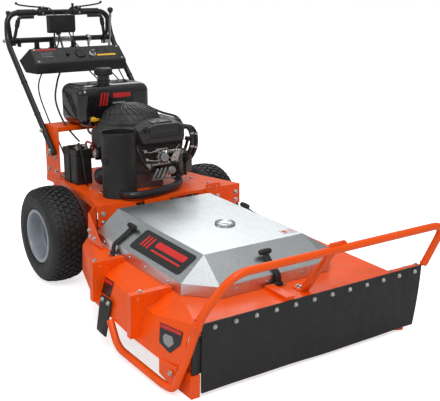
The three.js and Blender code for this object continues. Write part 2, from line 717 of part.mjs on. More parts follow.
function shroudOutline(inset) {
  const shape = new THREE.Shape();
  const { x, y } = ENGINE;
  const r = 158 - inset;
  shape.moveTo(x - r, y + 20);
  const front = y - 118 + inset;
  shape.lineTo(x - r, y - 20);
  shape.quadraticCurveTo(x - r + 18, y - 90 + inset, x - 60, front);
  shape.lineTo(x + 120 - inset, front);
  shape.quadraticCurveTo(x + 218 - inset, front, x + 225 - inset, y - 10);
  shape.quadraticCurveTo(x + 218 - inset, y + 100, x + 110, y + 140 - inset);
  shape.lineTo(x - 60, y + 150 - inset);
  shape.quadraticCurveTo(x - r, y + 130 - inset, x - r, y + 20);
  return shape;
}

function blowerHousing() {
  const { x, y } = ENGINE;
  const skirt = cut(plateZ(shroudOutline(0), 566, 628), plateZ(shroudOutline(5), 550, 623));
  const ring = turnedZ([
    [116, 620], [152, 620], [140, 638], [134, SHROUD_TOP - GAP], [119, SHROUD_TOP - GAP], [116, 620],
  ], x, y, 32);
  const shoulder = hull([
    [x + 95, y - 106, 668], [x + 170, y - 104, 668], [x + 190, y + 70, 664], [x + 100, y + 104, 660],
    [x + 90, y - 117, 626], [x + 190, y - 110, 640], [x + 215, y - 84, 620], [x + 219, y + 30, 620],
    [x + 190, y + 90, 622], [x + 100, y + 132, 620],
  ]);
  const mouth = rod([x, y, 600], [x, y, 700], 116, 32);
  const grilleRoom = rod([x, y, SHROUD_TOP - GAP], [x, y, 700], DOME_RADIUS + 3, 32);
  return cut(join(skirt, ring, shoulder), mouth, grilleRoom);
}

function blowerDome() {
  const z = SHROUD_TOP;
  return turnedZ([
    [0, z + 78], [0, z + 84], [50, z + 79], [84, z + 68], [108, z + 51], [122, z + 32],
    [DOME_RADIUS, z + 16], [DOME_RADIUS, z], [121, z], [121, z + 15], [116, z + 28], [103, z + 45],
    [81, z + 62], [48, z + 73], [0, z + 78],
  ], ENGINE.x, ENGINE.y, 24);
}

function crankshaft() {
  const { x, y } = ENGINE;
  const shaft = turnedZ([[0, 320], [12.8, 320], [12.8, 600], [0, 600]], x, y, 20);
  const groove = turnedZ([
    [12, 334], [ENGINE_PULLEY + 10, 334], [ENGINE_PULLEY + 10, 337], [ENGINE_PULLEY - 9, 342],
    [ENGINE_PULLEY - 9, 371], [ENGINE_PULLEY + 10, 374], [ENGINE_PULLEY + 10, 377], [12, 377], [12, 334],
  ], x, y, 24);
  return join(shaft, groove);
}

function flywheelFan() {
  const { x, y } = ENGINE;
  const disc = turnedZ([
    [13.1, 575], [108, 575], [108, 584], [60, 590], [30, 604], [13.1, 604], [13.1, 575],
  ], x, y, 24);
  const vanes = [];
  const count = 10;
  for (let i = 0; i < count; i += 1) {
    const vane = box(56, 105, -2, 2, 580, 612);
    vanes.push(vane.rotateZ((i * 2 * Math.PI) / count).translate(x, y, 0));
  }
  return join(disc, ...vanes);
}

// The middle of the knob's seat.
const KNOB = { x: -66, y: 1010, z: 652 };
const AIRBOX = { front: 1006, back: 1078, low: 585, crown: 678 };

function airFilterCover() {
  const { front, back, low, crown } = AIRBOX;
  const shape = hull([
    [-44, back, crown], [100, back, crown], [-18, front, crown - 15], [89, front, crown - 16],
    [-94, back - 18, crown - 22], [-92, front + 28, crown - 36], [-92, back - 18, low],
    [-72, front + 10, low], [-56, front + 4, low + 4], [120, front + 6, low],
    [122, front + 12, crown - 34], [150, back, crown - 32], [158, back, low],
  ]);
  const boss = rod([KNOB.x, KNOB.y, KNOB.z], [KNOB.x, KNOB.y + 44, KNOB.z], 12, 18);
  const housingRoom = rod([ENGINE.x, ENGINE.y, 560], [ENGINE.x, ENGINE.y, 720], 153, 40);
  const recess = hull([
    [-20, back + 20, crown - 4], [56, back + 20, crown - 4],
    [-4, front + 24, crown - 15], [66, front + 24, crown - 15],
    [-20, back + 20, crown + 9], [56, back + 20, crown + 9],
    [-4, front + 24, crown + 4], [66, front + 24, crown + 4],
  ]);
  return cut(join(shape, boss), recess, housingRoom);
}

function filterKnob() {
  const { x, z } = KNOB;
  const y = KNOB.y - GAP;
  const ears = hull([
    [x - 13, y - 13, z - 4], [x - 13, y - 13, z + 4], [x + 13, y - 13, z - 4], [x + 13, y - 13, z + 4],
    [x - 11, y - 3, z - 4], [x - 11, y - 3, z + 4], [x + 11, y - 3, z - 4], [x + 11, y - 3, z + 4],
  ]);
  return join(rod([x, y - 11, z], [x, y, z], 9, 18), ears);
}

function oilFilter() {
  const x = ENGINE.x - 112 - GAP;
  return rod([x, ENGINE.y - 20, 440], [x - 72, ENGINE.y - 20, 440], 36, 24);
}

function muffler() {
  return turnedZ([
    [0, 434], [40, 434], [53, 440], [55, 446], [55, 600], [48, 612], [16, 616], [16, 632], [0, 632],
  ], SHIELD.x, SHIELD.y, 24);
}

function heatShield() {
  const { x, y, radius, top } = SHIELD;
  const wall = 3;
  const shell = turnedZ([
    [radius, PLATE_TOP + GAP], [radius, top], [radius - wall, top], [radius - wall, PLATE_TOP + GAP],
    [radius, PLATE_TOP + GAP],
  ], x, y, 40);
  const port = rod([x - 100, y - 18, 536], [x - 40, y - 8, 536], 9, 16);
  return cut(shell, port, exhaustTube(EXHAUST_RADIUS + 1));
}

const EXHAUST_RADIUS = 16;

function exhaustTube(radius) {
  return tube([
    [94, 1040, 438], [90, 1004, 412], [30, 952, 407], [-80, 914, 407], [-160, 904, 408], [-203, 920, 409],
    [-204, 964, 411],
  ], radius, 40);
}

// ---------------------------------------------------------------- fuel and electrics

function roundedRect(x0, x1, z0, z1, r) {
  const shape = new THREE.Shape();
  shape.moveTo(x0 + r, z0);
  shape.lineTo(x1 - r, z0);
  shape.quadraticCurveTo(x1, z0, x1, z0 + r);
  shape.lineTo(x1, z1 - r);
  shape.quadraticCurveTo(x1, z1, x1 - r, z1);
  shape.lineTo(x0 + r, z1);
  shape.quadraticCurveTo(x0, z1, x0, z1 - r);
  shape.lineTo(x0, z0 + r);
  shape.quadraticCurveTo(x0, z0, x0 + r, z0);
  return shape;
}

const TANK = { x0: -182, x1: 168, front: 1364, rear: 1586, low: TOWER_TOP + GAP, top: 797 };
const FILLER = { x: -36, y: 1428, top: 835 };

function fuelTank() {
  const bevel = 12;
  const profile = roundedRect(TANK.x0 + bevel, TANK.x1 - bevel, TANK.low + bevel, TANK.top - bevel, 34);
  const depth = TANK.rear - TANK.front - 2 * bevel;
  const body = new THREE.ExtrudeGeometry(profile, {
    depth, bevelEnabled: true, bevelThickness: bevel, bevelSize: bevel, bevelSegments: 3, curveSegments: 5,
  });
  body.rotateX(Math.PI / 2).translate(0, TANK.rear - bevel, 0);
  const neck = rod([FILLER.x, FILLER.y, TANK.top - 10], [FILLER.x, FILLER.y, FILLER.top], 27);
  return join(body, neck);
}

function tankCap() {
  const z = FILLER.top + GAP;
  return turnedZ([
    [0, z], [39, z], [41, z + 6], [40, z + 27], [34, z + 31], [0, z + 32],
  ], FILLER.x, FILLER.y, 28);
}

function fuelTap() {
  const x = -128;
  const z = 653;
  const y = TANK.front - GAP;
  const body = rod([x, y - 16, z], [x, y, z], 11, 16);
  const lever = box(x - 20, x + 20, y - 26, y - 15, z - 7, z + 7);
  return join(body, lever);
}

function battery() {
  const low = PLATE_TOP + GAP;
  const post = (x) => rod([x, 1310, low + 160], [x, 1310, low + 174], 7, 12); // a terminal
  return join(box(-250, -176, 1292, 1424, low, low + 162), post(-232), post(-194));
}

// ---------------------------------------------------------------- handlebar and controls

function handlebarTube(radius) {
  const right = [
    [-ARM_X, ARM_LOW.y, ARM_LOW.z], [-ARM_X, ARM_ELBOW.y, ARM_ELBOW.z], [-262, TOP_BAR.y, TOP_BAR.z],
  ];
  const left = right.map(([x, y, z]) => [-x, y, z]).reverse();
  return tube([...right, ...left], radius, 58);
}

// The handlebar with a small tab on its right arm that carries the shift lever.
function handlebar() {
  const tab = box(-262, -258, 1957, 1994, 978, 1002);
  const tie = box(-272, -260, 1948, 1960, 984, 1000);
  return join(handlebarTube(BAR_RADIUS), tab, tie);
}

const BLADE_LEVER = { pivotY: 1920, pivotZ: 950, x: 251, topX: 262, topY: 1914, topZ: 1102 };

function crossbar() {
  const reach = ARM_X - BAR_RADIUS - 1;
  const bar = rod([-reach, CROSSBAR.y, CROSSBAR.z], [reach, CROSSBAR.y, CROSSBAR.z], BAR_RADIUS);
  const ear = box(219, 225, 1908, 1945, 940, CROSSBAR.z + 9);
  const legs = [-128, -50, 64].map((x) => box(x - 11, x + 11, 1934, 1946, 930, CROSSBAR.z));
  const braces = [-1, 1].map((side) => rod(
    [side * 251, CROSSBAR.y + 2, CROSSBAR.z], [side * 258, TOP_BAR.y - 3, TOP_BAR.z - 34], 6.5, 12));
  const { pivotY, pivotZ } = BLADE_LEVER;
  const leverPin = rod([210, pivotY, pivotZ], [230, pivotY, pivotZ], 4.3, 14);
  return cut(join(bar, ear, ...legs, ...braces), handlebarTube(BAR_RADIUS + GAP), leverPin);
}

// A grip lever turns on the crossbar. Its bar lies just in front of the handlebar when it is let go.
const GRIP_BAR = { y: 1926, z: 1078, inner: 142, outer: 216 };

function gripLever(side) {
  const { y, z, inner, outer } = GRIP_BAR;
  const hub = turnedX([
    [13.4, 230], [18, 230], [18, 243], [13.4, 243], [13.4, 230],
  ], CROSSBAR.y, CROSSBAR.z, side, 20);
  const arm = tube([
    [side * 236.5, CROSSBAR.y - 1, CROSSBAR.z + 13], [side * outer, y, z], [side * inner, y, z],
  ], 8, 16);
  const crossbarRoom = rod(
    [side * 200, CROSSBAR.y, CROSSBAR.z], [side * 270, CROSSBAR.y, CROSSBAR.z], BAR_RADIUS + GAP);
  return cut(join(hub, arm), crossbarRoom);
}

function consoleForm(inset) {
  const half = 231 - inset;
  const wide = ARM_X - BAR_RADIUS - 1 - inset;
  const points = [];
  for (const side of [-1, 1]) {
    points.push(
      [side * half, 1780 - inset, 939 - inset], [side * half, 1709 + inset, 874 - inset],
      [side * half, 1704 + inset, 828], [side * wide, 1768, 834],
      [side * wide, 1838, 884], [side * half, 1826, 884]);
  }
  return hull(points);
}

function controlConsole() {
  const { x, y, z } = PANEL;
  const lean = 30 * Math.sin(PANEL_TILT);
  const rise = 30 * Math.cos(PANEL_TILT);
  const keyRoom = rod([x, y + lean, z - rise], [x, y - lean, z + rise], 10.5, 16);
  const openBelow = consoleForm(3);
  openBelow.translate(0, 3, -3);
  return cut(consoleForm(0), openBelow, keyRoom);
}

const PANEL = { x: 70, y: 1745, z: 907 }; // where the key stands
const PANEL_TILT = Math.atan2(939 - 874, 1780 - 1709);

// The ignition key stands square to the console's sloping panel.
function ignitionKey() {
  const barrel = turnedZ([[0, -14], [9.5, -14], [9.5, 1], [13, 1], [13, 5], [0, 5]], 0, 0, 18);
  const bow = box(-12, 12, -2, 2, 4, 26);
  return join(barrel, bow).rotateX(PANEL_TILT).translate(PANEL.x, PANEL.y, PANEL.z);
}

function controlBox() {
  const body = plateX([[1856, 1016], [1866, 1002], [1899, 1002], [1899, 1086], [1856, 1086]], -91, 43);
  const stay = rod([-40, 1880, 1003], [-28, 1838, 894], 5, 12);
  return join(body, stay);
}

const BRAKE_LEFT_X = 104;
const BRAKE_RIGHT_X = -88;

function brakeClamp(side) {
  const x = side > 0 ? BRAKE_LEFT_X : BRAKE_RIGHT_X;
  const ring = rod([x - 20, TOP_BAR.y, TOP_BAR.z], [x + 20, TOP_BAR.y, TOP_BAR.z], 19, 18);
  const ear = box(x - 13, x + 13, TOP_BAR.y - 9, TOP_BAR.y + 9, TOP_BAR.z + 8, TOP_BAR.z + 26);
  const bore = rod([x - 30, TOP_BAR.y, TOP_BAR.z], [x + 30, TOP_BAR.y, TOP_BAR.z], BAR_RADIUS + GAP, 18);
  const slot = box(x - 40, x + 40, TOP_BAR.y - 4.5, TOP_BAR.y + 4.5, TOP_BAR.z + 15, TOP_BAR.z + 40);
  const pin = rod([x, TOP_BAR.y - 20, TOP_BAR.z + 24], [x, TOP_BAR.y + 20, TOP_BAR.z + 24], 3.3, 12);
  return cut(join(ring, ear), bore, slot, pin);
}

function brakeLever(side) {
  const x = side > 0 ? BRAKE_LEFT_X : BRAKE_RIGHT_X;
  const z = TOP_BAR.z + 24;
  const y = TOP_BAR.y;
  const at = (dx, dz) => [x + side * dx, z + dz];
  const outline = [
    at(-8, -3), at(12, -5), at(70, 2), at(122, 14), at(130, 24),
    at(124, 24), at(66, 10), at(10, 8), at(-8, 6),
  ];
  const lever = plateY(side > 0 ? outline : outline.reverse(), y - 4, y + 4);
  const pivot = rod([x, y - 8.6, z], [x, y + 8.6, z], 3, 12);
  return join(lever, pivot);
}

function throttleLever() {
  const x = 76;
  const collar = cut(rod([x - 6, TOP_BAR.y, TOP_BAR.z], [x + 6, TOP_BAR.y, TOP_BAR.z], 20, 18),
    rod([x - 9, TOP_BAR.y, TOP_BAR.z], [x + 9, TOP_BAR.y, TOP_BAR.z], BAR_RADIUS + GAP, 18));
  const thumb = hull([
    [x - 4, TOP_BAR.y - 6, TOP_BAR.z + 16], [x + 4, TOP_BAR.y - 6, TOP_BAR.z + 16],
    [x - 4, TOP_BAR.y + 6, TOP_BAR.z + 16], [x + 4, TOP_BAR.y + 6, TOP_BAR.z + 16],
    [x - 5, TOP_BAR.y - 5, TOP_BAR.z + 42], [x + 5, TOP_BAR.y - 5, TOP_BAR.z + 42],
    [x - 5, TOP_BAR.y + 5, TOP_BAR.z + 42], [x + 5, TOP_BAR.y + 5, TOP_BAR.z + 42],
  ]);
  return join(collar, thumb);
}

function bladeLever() {
  const { pivotY, pivotZ, x, topX, topY, topZ } = BLADE_LEVER;
  const bar = hull([
    [x - 3, pivotY - 9, pivotZ - 25], [x + 3, pivotY - 9, pivotZ - 25],
    [x - 3, pivotY + 9, pivotZ - 25], [x + 3, pivotY + 9, pivotZ - 25],
    [topX - 3, topY - 8, topZ - 12], [topX + 3, topY - 8, topZ - 12],
    [topX - 3, topY + 8, topZ - 12], [topX + 3, topY + 8, topZ - 12],
  ]);
  const knob = new THREE.SphereGeometry(14, 16, 12).translate(topX, topY, topZ);
  const boss = rod([225.4, pivotY, pivotZ], [x + 5, pivotY, pivotZ], 9, 16);
  const pin = rod([214, pivotY, pivotZ], [230, pivotY, pivotZ], 3.9, 14);
  return join(bar, knob, boss, pin);
}

const SHIFT_LEVER = { x: -245, y: 1985, footZ: 990, topZ: 1088 };

function shiftLever() {
  const { x, y, footZ, topZ } = SHIFT_LEVER;
  const stem = rod([x, y - 2, footZ], [x, y, topZ], 5, 12);
  const knob = turnedZ([
    [0, topZ - 6], [9, topZ - 4], [11, topZ + 8], [8, topZ + 18], [0, topZ + 20],
  ], x, y, 16);
  const boss = rod([x - 8, y - 2, footZ], [x + 8, y - 2, footZ], 9, 16);
  return join(stem, knob, boss);
}

// ---------------------------------------------------------------- placing every piece

place(deck, 'deck_shell', deckShell(), ORANGE);
place(deck, 'side_guard', tube(guardLine(), BUMPER_RADIUS, 40), ORANGE);
place(deck, 'skid_foot_right', skidFoot([[-503, 2], [-472, 2], [-472, 85], [-503, 85]], -482, 45), ORANGE);
place(deck, 'skid_foot_left', skidFoot([[410, 7], [410, 62], [344, 92], [322, 50]], 362, 58), ORANGE);
place(deck, 'front_bumper', bumper(), ORANGE);
place(deck, 'bumper_strut', bumperStrut(), ORANGE);
place(deck, 'flap_bolt_strip', boltStrip(), RUBBER);
place(deck, 'front_flap', flapCurtain(), RUBBER);
place(deck, 'side_flap', sideFlap(), RUBBER);
place(deck, 'belt_cover', beltCover(), SILVER);
place(deck, 'cover_cap', coverCap(), SILVER);
place(deck, 'latch_right', latchAt(COVER.x - COVER.half - 2, 655, Math.PI), RUBBER);
place(deck, 'latch_left', latchAt(COVER.x + COVER.half + 2, 655, 0), RUBBER);
place(deck, 'latch_front', latchAt(-92, COVER.front - 2, -Math.PI / 2), RUBBER);
place(deck, 'spindle_housing', spindleHousing(), IRON);
place(deck, 'spindle_shaft', spindleShaft(), STEEL);
place(deck, 'blade', blade(), STEEL);
place(deck, 'drive_belt', driveBelt(), RUBBER);
place(deck, 'idler_arm', idlerArm(), STEEL);
place(deck, 'idler_pulley', idlerPulley(), IRON);
place(deck, 'hanger_plate_right', hangerPlate(-1), ORANGE);
place(deck, 'hanger_plate_left', hangerPlate(1), ORANGE);

place(level, 'chassis_frame', chassisFrame(), ORANGE);
place(level, 'rear_tower', rearTower(), ORANGE);
place(level, 'transaxle', transaxle(), ALUMINIUM);
for (const [word, side] of [['right', -1], ['left', 1]]) {
  place(level, `tyre_${word}`, tyre(side), RUBBER);
  place(level, `wheel_rim_${word}`, wheelRim(side), RIM_PAINT);
}
place(level, 'crankcase', crankcase(), ALUMINIUM);
place(level, 'cylinder_front', cylinder(CYLINDER_ANGLES[0], FRONT_STRETCH), ALUMINIUM);
place(level, 'cylinder_rear', cylinder(CYLINDER_ANGLES[1], 0), ALUMINIUM);
place(level, 'blower_housing', blowerHousing(), SHROUD_PLASTIC);
place(level, 'blower_dome', blowerDome(), SHROUD_PLASTIC);
place(level, 'crankshaft', crankshaft(), STEEL);
place(level, 'flywheel_fan', flywheelFan(), ALUMINIUM);
place(level, 'air_filter_cover', airFilterCover(), SHROUD_PLASTIC);
place(level, 'air_filter_knob', filterKnob(), BLACK_PAINT);
place(level, 'oil_filter', oilFilter(), BLACK_PAINT);
place(level, 'muffler', muffler(), IRON);
place(level, 'muffler_heat_shield', heatShield(), SHROUD_PLASTIC);
place(level, 'exhaust_pipe', exhaustTube(EXHAUST_RADIUS), BLACK_PAINT);
place(level, 'fuel_tank', fuelTank(), TANK_PLASTIC);
place(level, 'fuel_tank_cap', tankCap(), BLACK_PAINT);
place(level, 'fuel_tap', fuelTap(), YELLOW);
place(level, 'battery', battery(), BLACK_PAINT);
place(level, 'handlebar', handlebar(), BLACK_PAINT);
place(level, 'crossbar', crossbar(), BLACK_PAINT);
place(level, 'grip_lever_right', gripLever(-1), BLACK_PAINT);
place(level, 'grip_lever_left', gripLever(1), BLACK_PAINT);
place(level, 'control_console', controlConsole(), BLACK_PAINT);
place(level, 'ignition_key', ignitionKey(), STEEL);
place(level, 'control_box', controlBox(), BLACK_PAINT);
for (const [word, side] of [['right', -1], ['left', 1]]) {
  place(level, `brake_clamp_${word}`, brakeClamp(side), BLACK_PAINT);
  place(level, `brake_lever_${word}`, brakeLever(side), BLACK_PAINT);
}
place(level, 'throttle_lever', throttleLever(), BLACK_PAINT);
place(level, 'blade_lever', bladeLever(), ZINC);
place(level, 'shift_lever', shiftLever(), BLACK_PAINT);

// Origin: on the ground, below the middle of the machine's length and width.
const extent = new THREE.Box3().setFromObject(machine, true);
const middle = extent.getCenter(new THREE.Vector3());
machine.position.set(-middle.x, -middle.y, -extent.min.z);

export default machine;
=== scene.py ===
"""The looks of a walk-behind brush mower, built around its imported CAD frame.

Shapes are given in millimetres in one of two frames, as the machine itself is laid out:
  LEVEL  chassis, engine, wheels and handlebar, standing level on the ground;
  DECK   the cutting deck and all that is fastened to it, pitched a little nose-down.
In both, +X is the machine's left, +Y points back towards the handles and +Z is up.
"""
import math

import bmesh
import bpy
from mathutils import Matrix, Vector
from mathutils.geometry import tessellate_polygon


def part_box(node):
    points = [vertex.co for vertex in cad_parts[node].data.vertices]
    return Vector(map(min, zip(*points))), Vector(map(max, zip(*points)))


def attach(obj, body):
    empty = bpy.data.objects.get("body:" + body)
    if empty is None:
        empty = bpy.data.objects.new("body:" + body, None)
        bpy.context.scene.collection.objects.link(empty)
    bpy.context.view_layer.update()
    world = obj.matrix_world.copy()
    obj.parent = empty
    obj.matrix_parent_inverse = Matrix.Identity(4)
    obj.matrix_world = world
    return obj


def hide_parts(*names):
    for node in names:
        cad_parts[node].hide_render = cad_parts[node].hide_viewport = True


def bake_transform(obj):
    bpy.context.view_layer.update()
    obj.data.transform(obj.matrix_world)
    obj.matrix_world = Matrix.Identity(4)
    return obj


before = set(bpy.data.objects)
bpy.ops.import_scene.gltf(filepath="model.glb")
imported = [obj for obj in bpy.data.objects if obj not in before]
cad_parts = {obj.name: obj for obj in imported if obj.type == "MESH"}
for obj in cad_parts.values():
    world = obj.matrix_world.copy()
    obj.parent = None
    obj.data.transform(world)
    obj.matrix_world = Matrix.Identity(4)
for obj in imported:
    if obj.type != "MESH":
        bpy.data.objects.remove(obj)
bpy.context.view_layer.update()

# ------------------------------------------------------------------ the two frames

MM = 0.001
AXLE_Y = 1263
AXLE_Z = 203
DECK_AXLE_Y = 1272
DECK_AXLE_Z = 138
PITCH = math.asin(AXLE_Z / math.hypot(AXLE_Y, AXLE_Z)) - math.atan2(DECK_AXLE_Z, DECK_AXLE_Y)

right_low, right_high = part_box("tyre_right")
left_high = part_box("tyre_left")[1]
SHIFT = Vector(((right_low.x + left_high.x) / 2, (right_low.y + right_high.y) / 2 - AXLE_Y * MM, 0))
LEVEL = Matrix.Translation(SHIFT) @ Matrix.Scale(MM, 4)
DECK = Matrix.Translation(SHIFT) @ Matrix.Rotation(PITCH, 4, "X") @ Matrix.Scale(MM, 4)

SIDES = (("right", -1), ("left", 1))


# ------------------------------------------------------------------ materials

class Nodes:
    """A small writer for shader node trees."""

    def __init__(self, name):
        self.material = bpy.data.materials.new(name)
        self.material.use_nodes = True
        self.tree = self.material.node_tree
        self.shader = self.tree.nodes["Principled BSDF"]
        self.coordinates = self.add("ShaderNodeTexCoord").outputs["Object"]

    def add(self, kind, **values):
        node = self.tree.nodes.new(kind)
        for key, value in values.items():
            setattr(node, key, value)
        return node

    def link(self, source, target):
        self.tree.links.new(source, target)

    def noise(self, scale, detail=4.0, stretch=(1, 1, 1), roughness=0.55):
        mapping = self.add("ShaderNodeMapping")
        mapping.inputs["Scale"].default_value = stretch
        self.link(self.coordinates, mapping.inputs["Vector"])
        texture = self.add("ShaderNodeTexNoise")
        texture.inputs["Scale"].default_value = scale
        texture.inputs["Detail"].default_value = detail
        texture.inputs["Roughness"].default_value = roughness
        self.link(mapping.outputs["Vector"], texture.inputs["Vector"])
        return texture.outputs["Fac"]

    def spread(self, value, low, high, start=0.3, end=0.7):
        node = self.add("ShaderNodeMapRange")
        node.inputs["From Min"].default_value = start
        node.inputs["From Max"].default_value = end
        node.inputs["To Min"].default_value = low
        node.inputs["To Max"].default_value = high
        self.link(value, node.inputs["Value"])
        return node.outputs["Result"]

    def mix(self, factor, first, second):
        node = self.add("ShaderNodeMix", data_type="RGBA")
        if isinstance(factor, (int, float)):
            node.inputs["Factor"].default_value = factor
        else:
            self.link(factor, node.inputs["Factor"])
        for socket, value in ((node.inputs[6], first), (node.inputs[7], second)):
            if isinstance(value, tuple):
                socket.default_value = (*value, 1)
            else:
                self.link(value, socket)
        return node.outputs[2]

    def bump(self, *layers):
        """Each layer is (height socket, distance in metres)."""
        normal = None
        for height, distance in layers:
            node = self.add("ShaderNodeBump")
            node.inputs["Distance"].default_value = distance
            self.link(height, node.inputs["Height"])
            if normal is not None:
                self.link(normal, node.inputs["Normal"])
            normal = node.outputs["Normal"]
        self.link(normal, self.shader.inputs["Normal"])

    def set(self, **values):
        for key, value in values.items():
            socket = self.shader.inputs[key.replace("_", " ").title().replace("Ior", "IOR")]
            if hasattr(value, "is_output"):
                self.link(value, socket)
            else:
                socket.default_value = (*value, 1) if isinstance(value, tuple) else value


def scaled(colour, factor):
    return tuple(min(channel * factor, 1.0) for channel in colour)


def paint(name, colour, roughness=0.3, coat=0.35, dust=(0.35, 0.30, 0.24), dustiness=0.10):
    """Powder coat: faint orange peel, small colour drift, and a little dust lying in patches."""
    n = Nodes(name)
    drift = n.noise(9, 3)
    grime = n.noise(26, 6, roughness=0.7)
    peel = n.noise(900, 2)
    body = n.mix(n.spread(drift, 0, 1), scaled(colour, 0.93), scaled(colour, 1.06))
    n.set(base_color=n.mix(n.spread(grime, 0, dustiness, 0.5, 0.78), body, dust),
          roughness=n.spread(grime, roughness * 0.8, roughness * 1.5), metallic=0.0, coat_weight=coat,
          coat_roughness=0.14)
    n.shader.inputs["Specular IOR Level"].default_value = 0.3
    n.bump((peel, 0.00004), (n.noise(60, 2), 0.0001))
    return n.material


def bare_metal(name, colour, roughness=0.32, stretch=(1, 1, 1), grain=300, stain=0.12, depth=0.00002):
    """Machined, brushed or plated metal: grain along one direction, and faint stains."""
    n = Nodes(name)
    lines = n.noise(grain, 3, stretch)
    cloud = n.noise(14, 5)
    base = n.mix(n.spread(lines, 0, 1), scaled(colour, 0.86), scaled(colour, 1.1))
    n.set(base_color=n.mix(n.spread(cloud, 0, stain), base, scaled(colour, 0.45)), metallic=1.0,
          roughness=n.spread(n.noise(6, 2), roughness * 0.85, roughness * 1.15))
    n.bump((lines, depth))
    return n.material


def cast_metal(name, colour, roughness=0.5, metallic=0.85):
    """Sand-cast or die-cast metal: a fine pebble grain and oily shadows."""
    n = Nodes(name)
    cloud = n.noise(22, 6, roughness=0.65)
    n.set(base_color=n.mix(n.spread(cloud, 0, 1, 0.35, 0.75), scaled(colour, 1.08), scaled(colour, 0.6)),
          metallic=metallic, roughness=n.spread(cloud, roughness * 0.8, roughness * 1.3))
    n.bump((n.noise(700, 3), 0.00025), (n.noise(90, 3), 0.0003))
    return n.material


def plastic(name, colour, roughness=0.45, grain=1100, depth=0.00012, dustiness=0.08):
    """Moulded plastic: leather grain and a film of dust."""
    n = Nodes(name)
    grime = n.noise(18, 6, roughness=0.7)
    body = n.mix(n.spread(n.noise(7, 2), 0, 1), scaled(colour, 0.9), scaled(colour, 1.12))
    n.set(base_color=n.mix(n.spread(grime, 0, dustiness, 0.45, 0.8), body, (0.42, 0.39, 0.34)),
          roughness=n.spread(grime, roughness * 0.8, min(roughness * 1.4, 1)), metallic=0.0)
    n.bump((n.noise(grain, 2), depth))
    return n.material


def sheet_rubber(name, colour, roughness=0.62, dustiness=0.22):
    """Flat rubber: soft mottling, scuffs that run down the sheet, and dust."""
    n = Nodes(name)
    scuff = n.noise(30, 5, (1.0, 1.0, 0.7), 0.7)
    mottle = n.noise(6, 4)
    body = n.mix(n.spread(mottle, 0, 1), scaled(colour, 0.8), scaled(colour, 1.3))
    n.set(base_color=n.mix(n.spread(scuff, 0, dustiness, 0.45, 0.75), body, (0.30, 0.28, 0.26)),
          roughness=n.spread(scuff, roughness * 0.75, roughness * 1.2), metallic=0.0)
    n.bump((n.noise(350, 3), 0.0002), (mottle, 0.0004))
    return n.material


def glossy(name, colour, roughness=0.12, coat=0.6):
    """Gloss moulding with faint flow marks."""
    n = Nodes(name)
    flow = n.noise(12, 3)
    n.set(base_color=n.mix(n.spread(flow, 0, 1), scaled(colour, 0.85), scaled(colour, 1.15)),
          roughness=n.spread(n.noise(50, 5), roughness * 0.7, roughness * 2.0), metallic=0.0,
          coat_weight=coat, coat_roughness=0.06)
    n.bump((flow, 0.0006), (n.noise(600, 2), 0.00003))
    return n.material


FINISHES = {
    "orange": (paint("orange_powder_coat", (0.92, 0.092, 0.0), 0.36, 0.10, dustiness=0.0), "orange_paint"),
    "black": (paint("black_powder_coat", (0.012, 0.012, 0.014), 0.30, 0.3, dustiness=0.02), "black_paint"),
    "silver": (bare_metal("brushed_silver_sheet", (0.62, 0.655, 0.67), 0.34, (1, 0.05, 1), 300, 0.0,
                          0.000004), "silver_cover"),
    "zinc": (bare_metal("zinc_plate", (0.56, 0.56, 0.53), 0.36, (1, 1, 1), 200, 0.2), "zinc"),
    "steel": (bare_metal("machined_steel", (0.50, 0.51, 0.52), 0.3, (1, 1, 0.1), 400, 0.15), "steel"),
    "iron": (cast_metal("cast_iron", (0.12, 0.12, 0.125), 0.6), "cast_iron"),
    "aluminium": (cast_metal("die_cast_aluminium", (0.15, 0.155, 0.155), 0.48), "aluminium"),
    "bright_aluminium": (cast_metal("clean_aluminium", (0.42, 0.43, 0.42), 0.40), "aluminium"),
    "rubber": (sheet_rubber("sheet_rubber", (0.008, 0.0085, 0.009), 0.6, 0.02), "rubber"),
    "tyre": (sheet_rubber("tyre_rubber", (0.010, 0.010, 0.011), 0.6, 0.04), "tyre"),
    "rim": (paint("rim_enamel", (0.30, 0.33, 0.37), 0.34, 0.3, dustiness=0.04), "rim_paint"),
    "engine": (plastic("engine_plastic", (0.024, 0.024, 0.026), 0.42, dustiness=0.03), "engine_plastic"),
    "shield": (cast_metal("heat_resistant_paint", (0.011, 0.011, 0.0115), 0.5, 0.1), "shield_paint"),
    "tank": (glossy("gloss_black_moulding", (0.008, 0.008, 0.009)), "tank_plastic"),
    "plastic": (plastic("black_plastic", (0.012, 0.012, 0.013), 0.4, dustiness=0.02), "black_plastic"),
    "yellow": (glossy("yellow_moulding", (0.85, 0.50, 0.02), 0.3, 0.3), "yellow_plastic"),
    "amber": (glossy("amber_filter_window", (0.030, 0.020, 0.014), 0.42, 0.1), "engine_plastic"),
    "label": (glossy("label_black", (0.006, 0.006, 0.007), 0.25, 0.3), "black_plastic"),
    "label_white": (plastic("label_white", (0.72, 0.72, 0.70), 0.35, 500, 0.00003), "silver_cover"),
    "label_red": (plastic("label_red", (0.62, 0.018, 0.016), 0.35, 500, 0.00003, 0.01), "orange_paint"),
    "label_grey": (plastic("label_grey", (0.28, 0.29, 0.30), 0.35, 500, 0.00003), "black_plastic"),
    "red": (plastic("red_cable", (0.40, 0.012, 0.010), 0.4, 500), "black_plastic"),
    "cable": (plastic("black_cable", (0.010, 0.010, 0.011), 0.38, 700), "black_plastic"),
    # Near-black matte stand-in, used as painted shade inside gaps and openings.
    "painted_shade": (plastic("painted_shade_black", (0.006, 0.006, 0.006), 0.7, 500), "engine_plastic"),
}


# ------------------------------------------------------------------ shapes

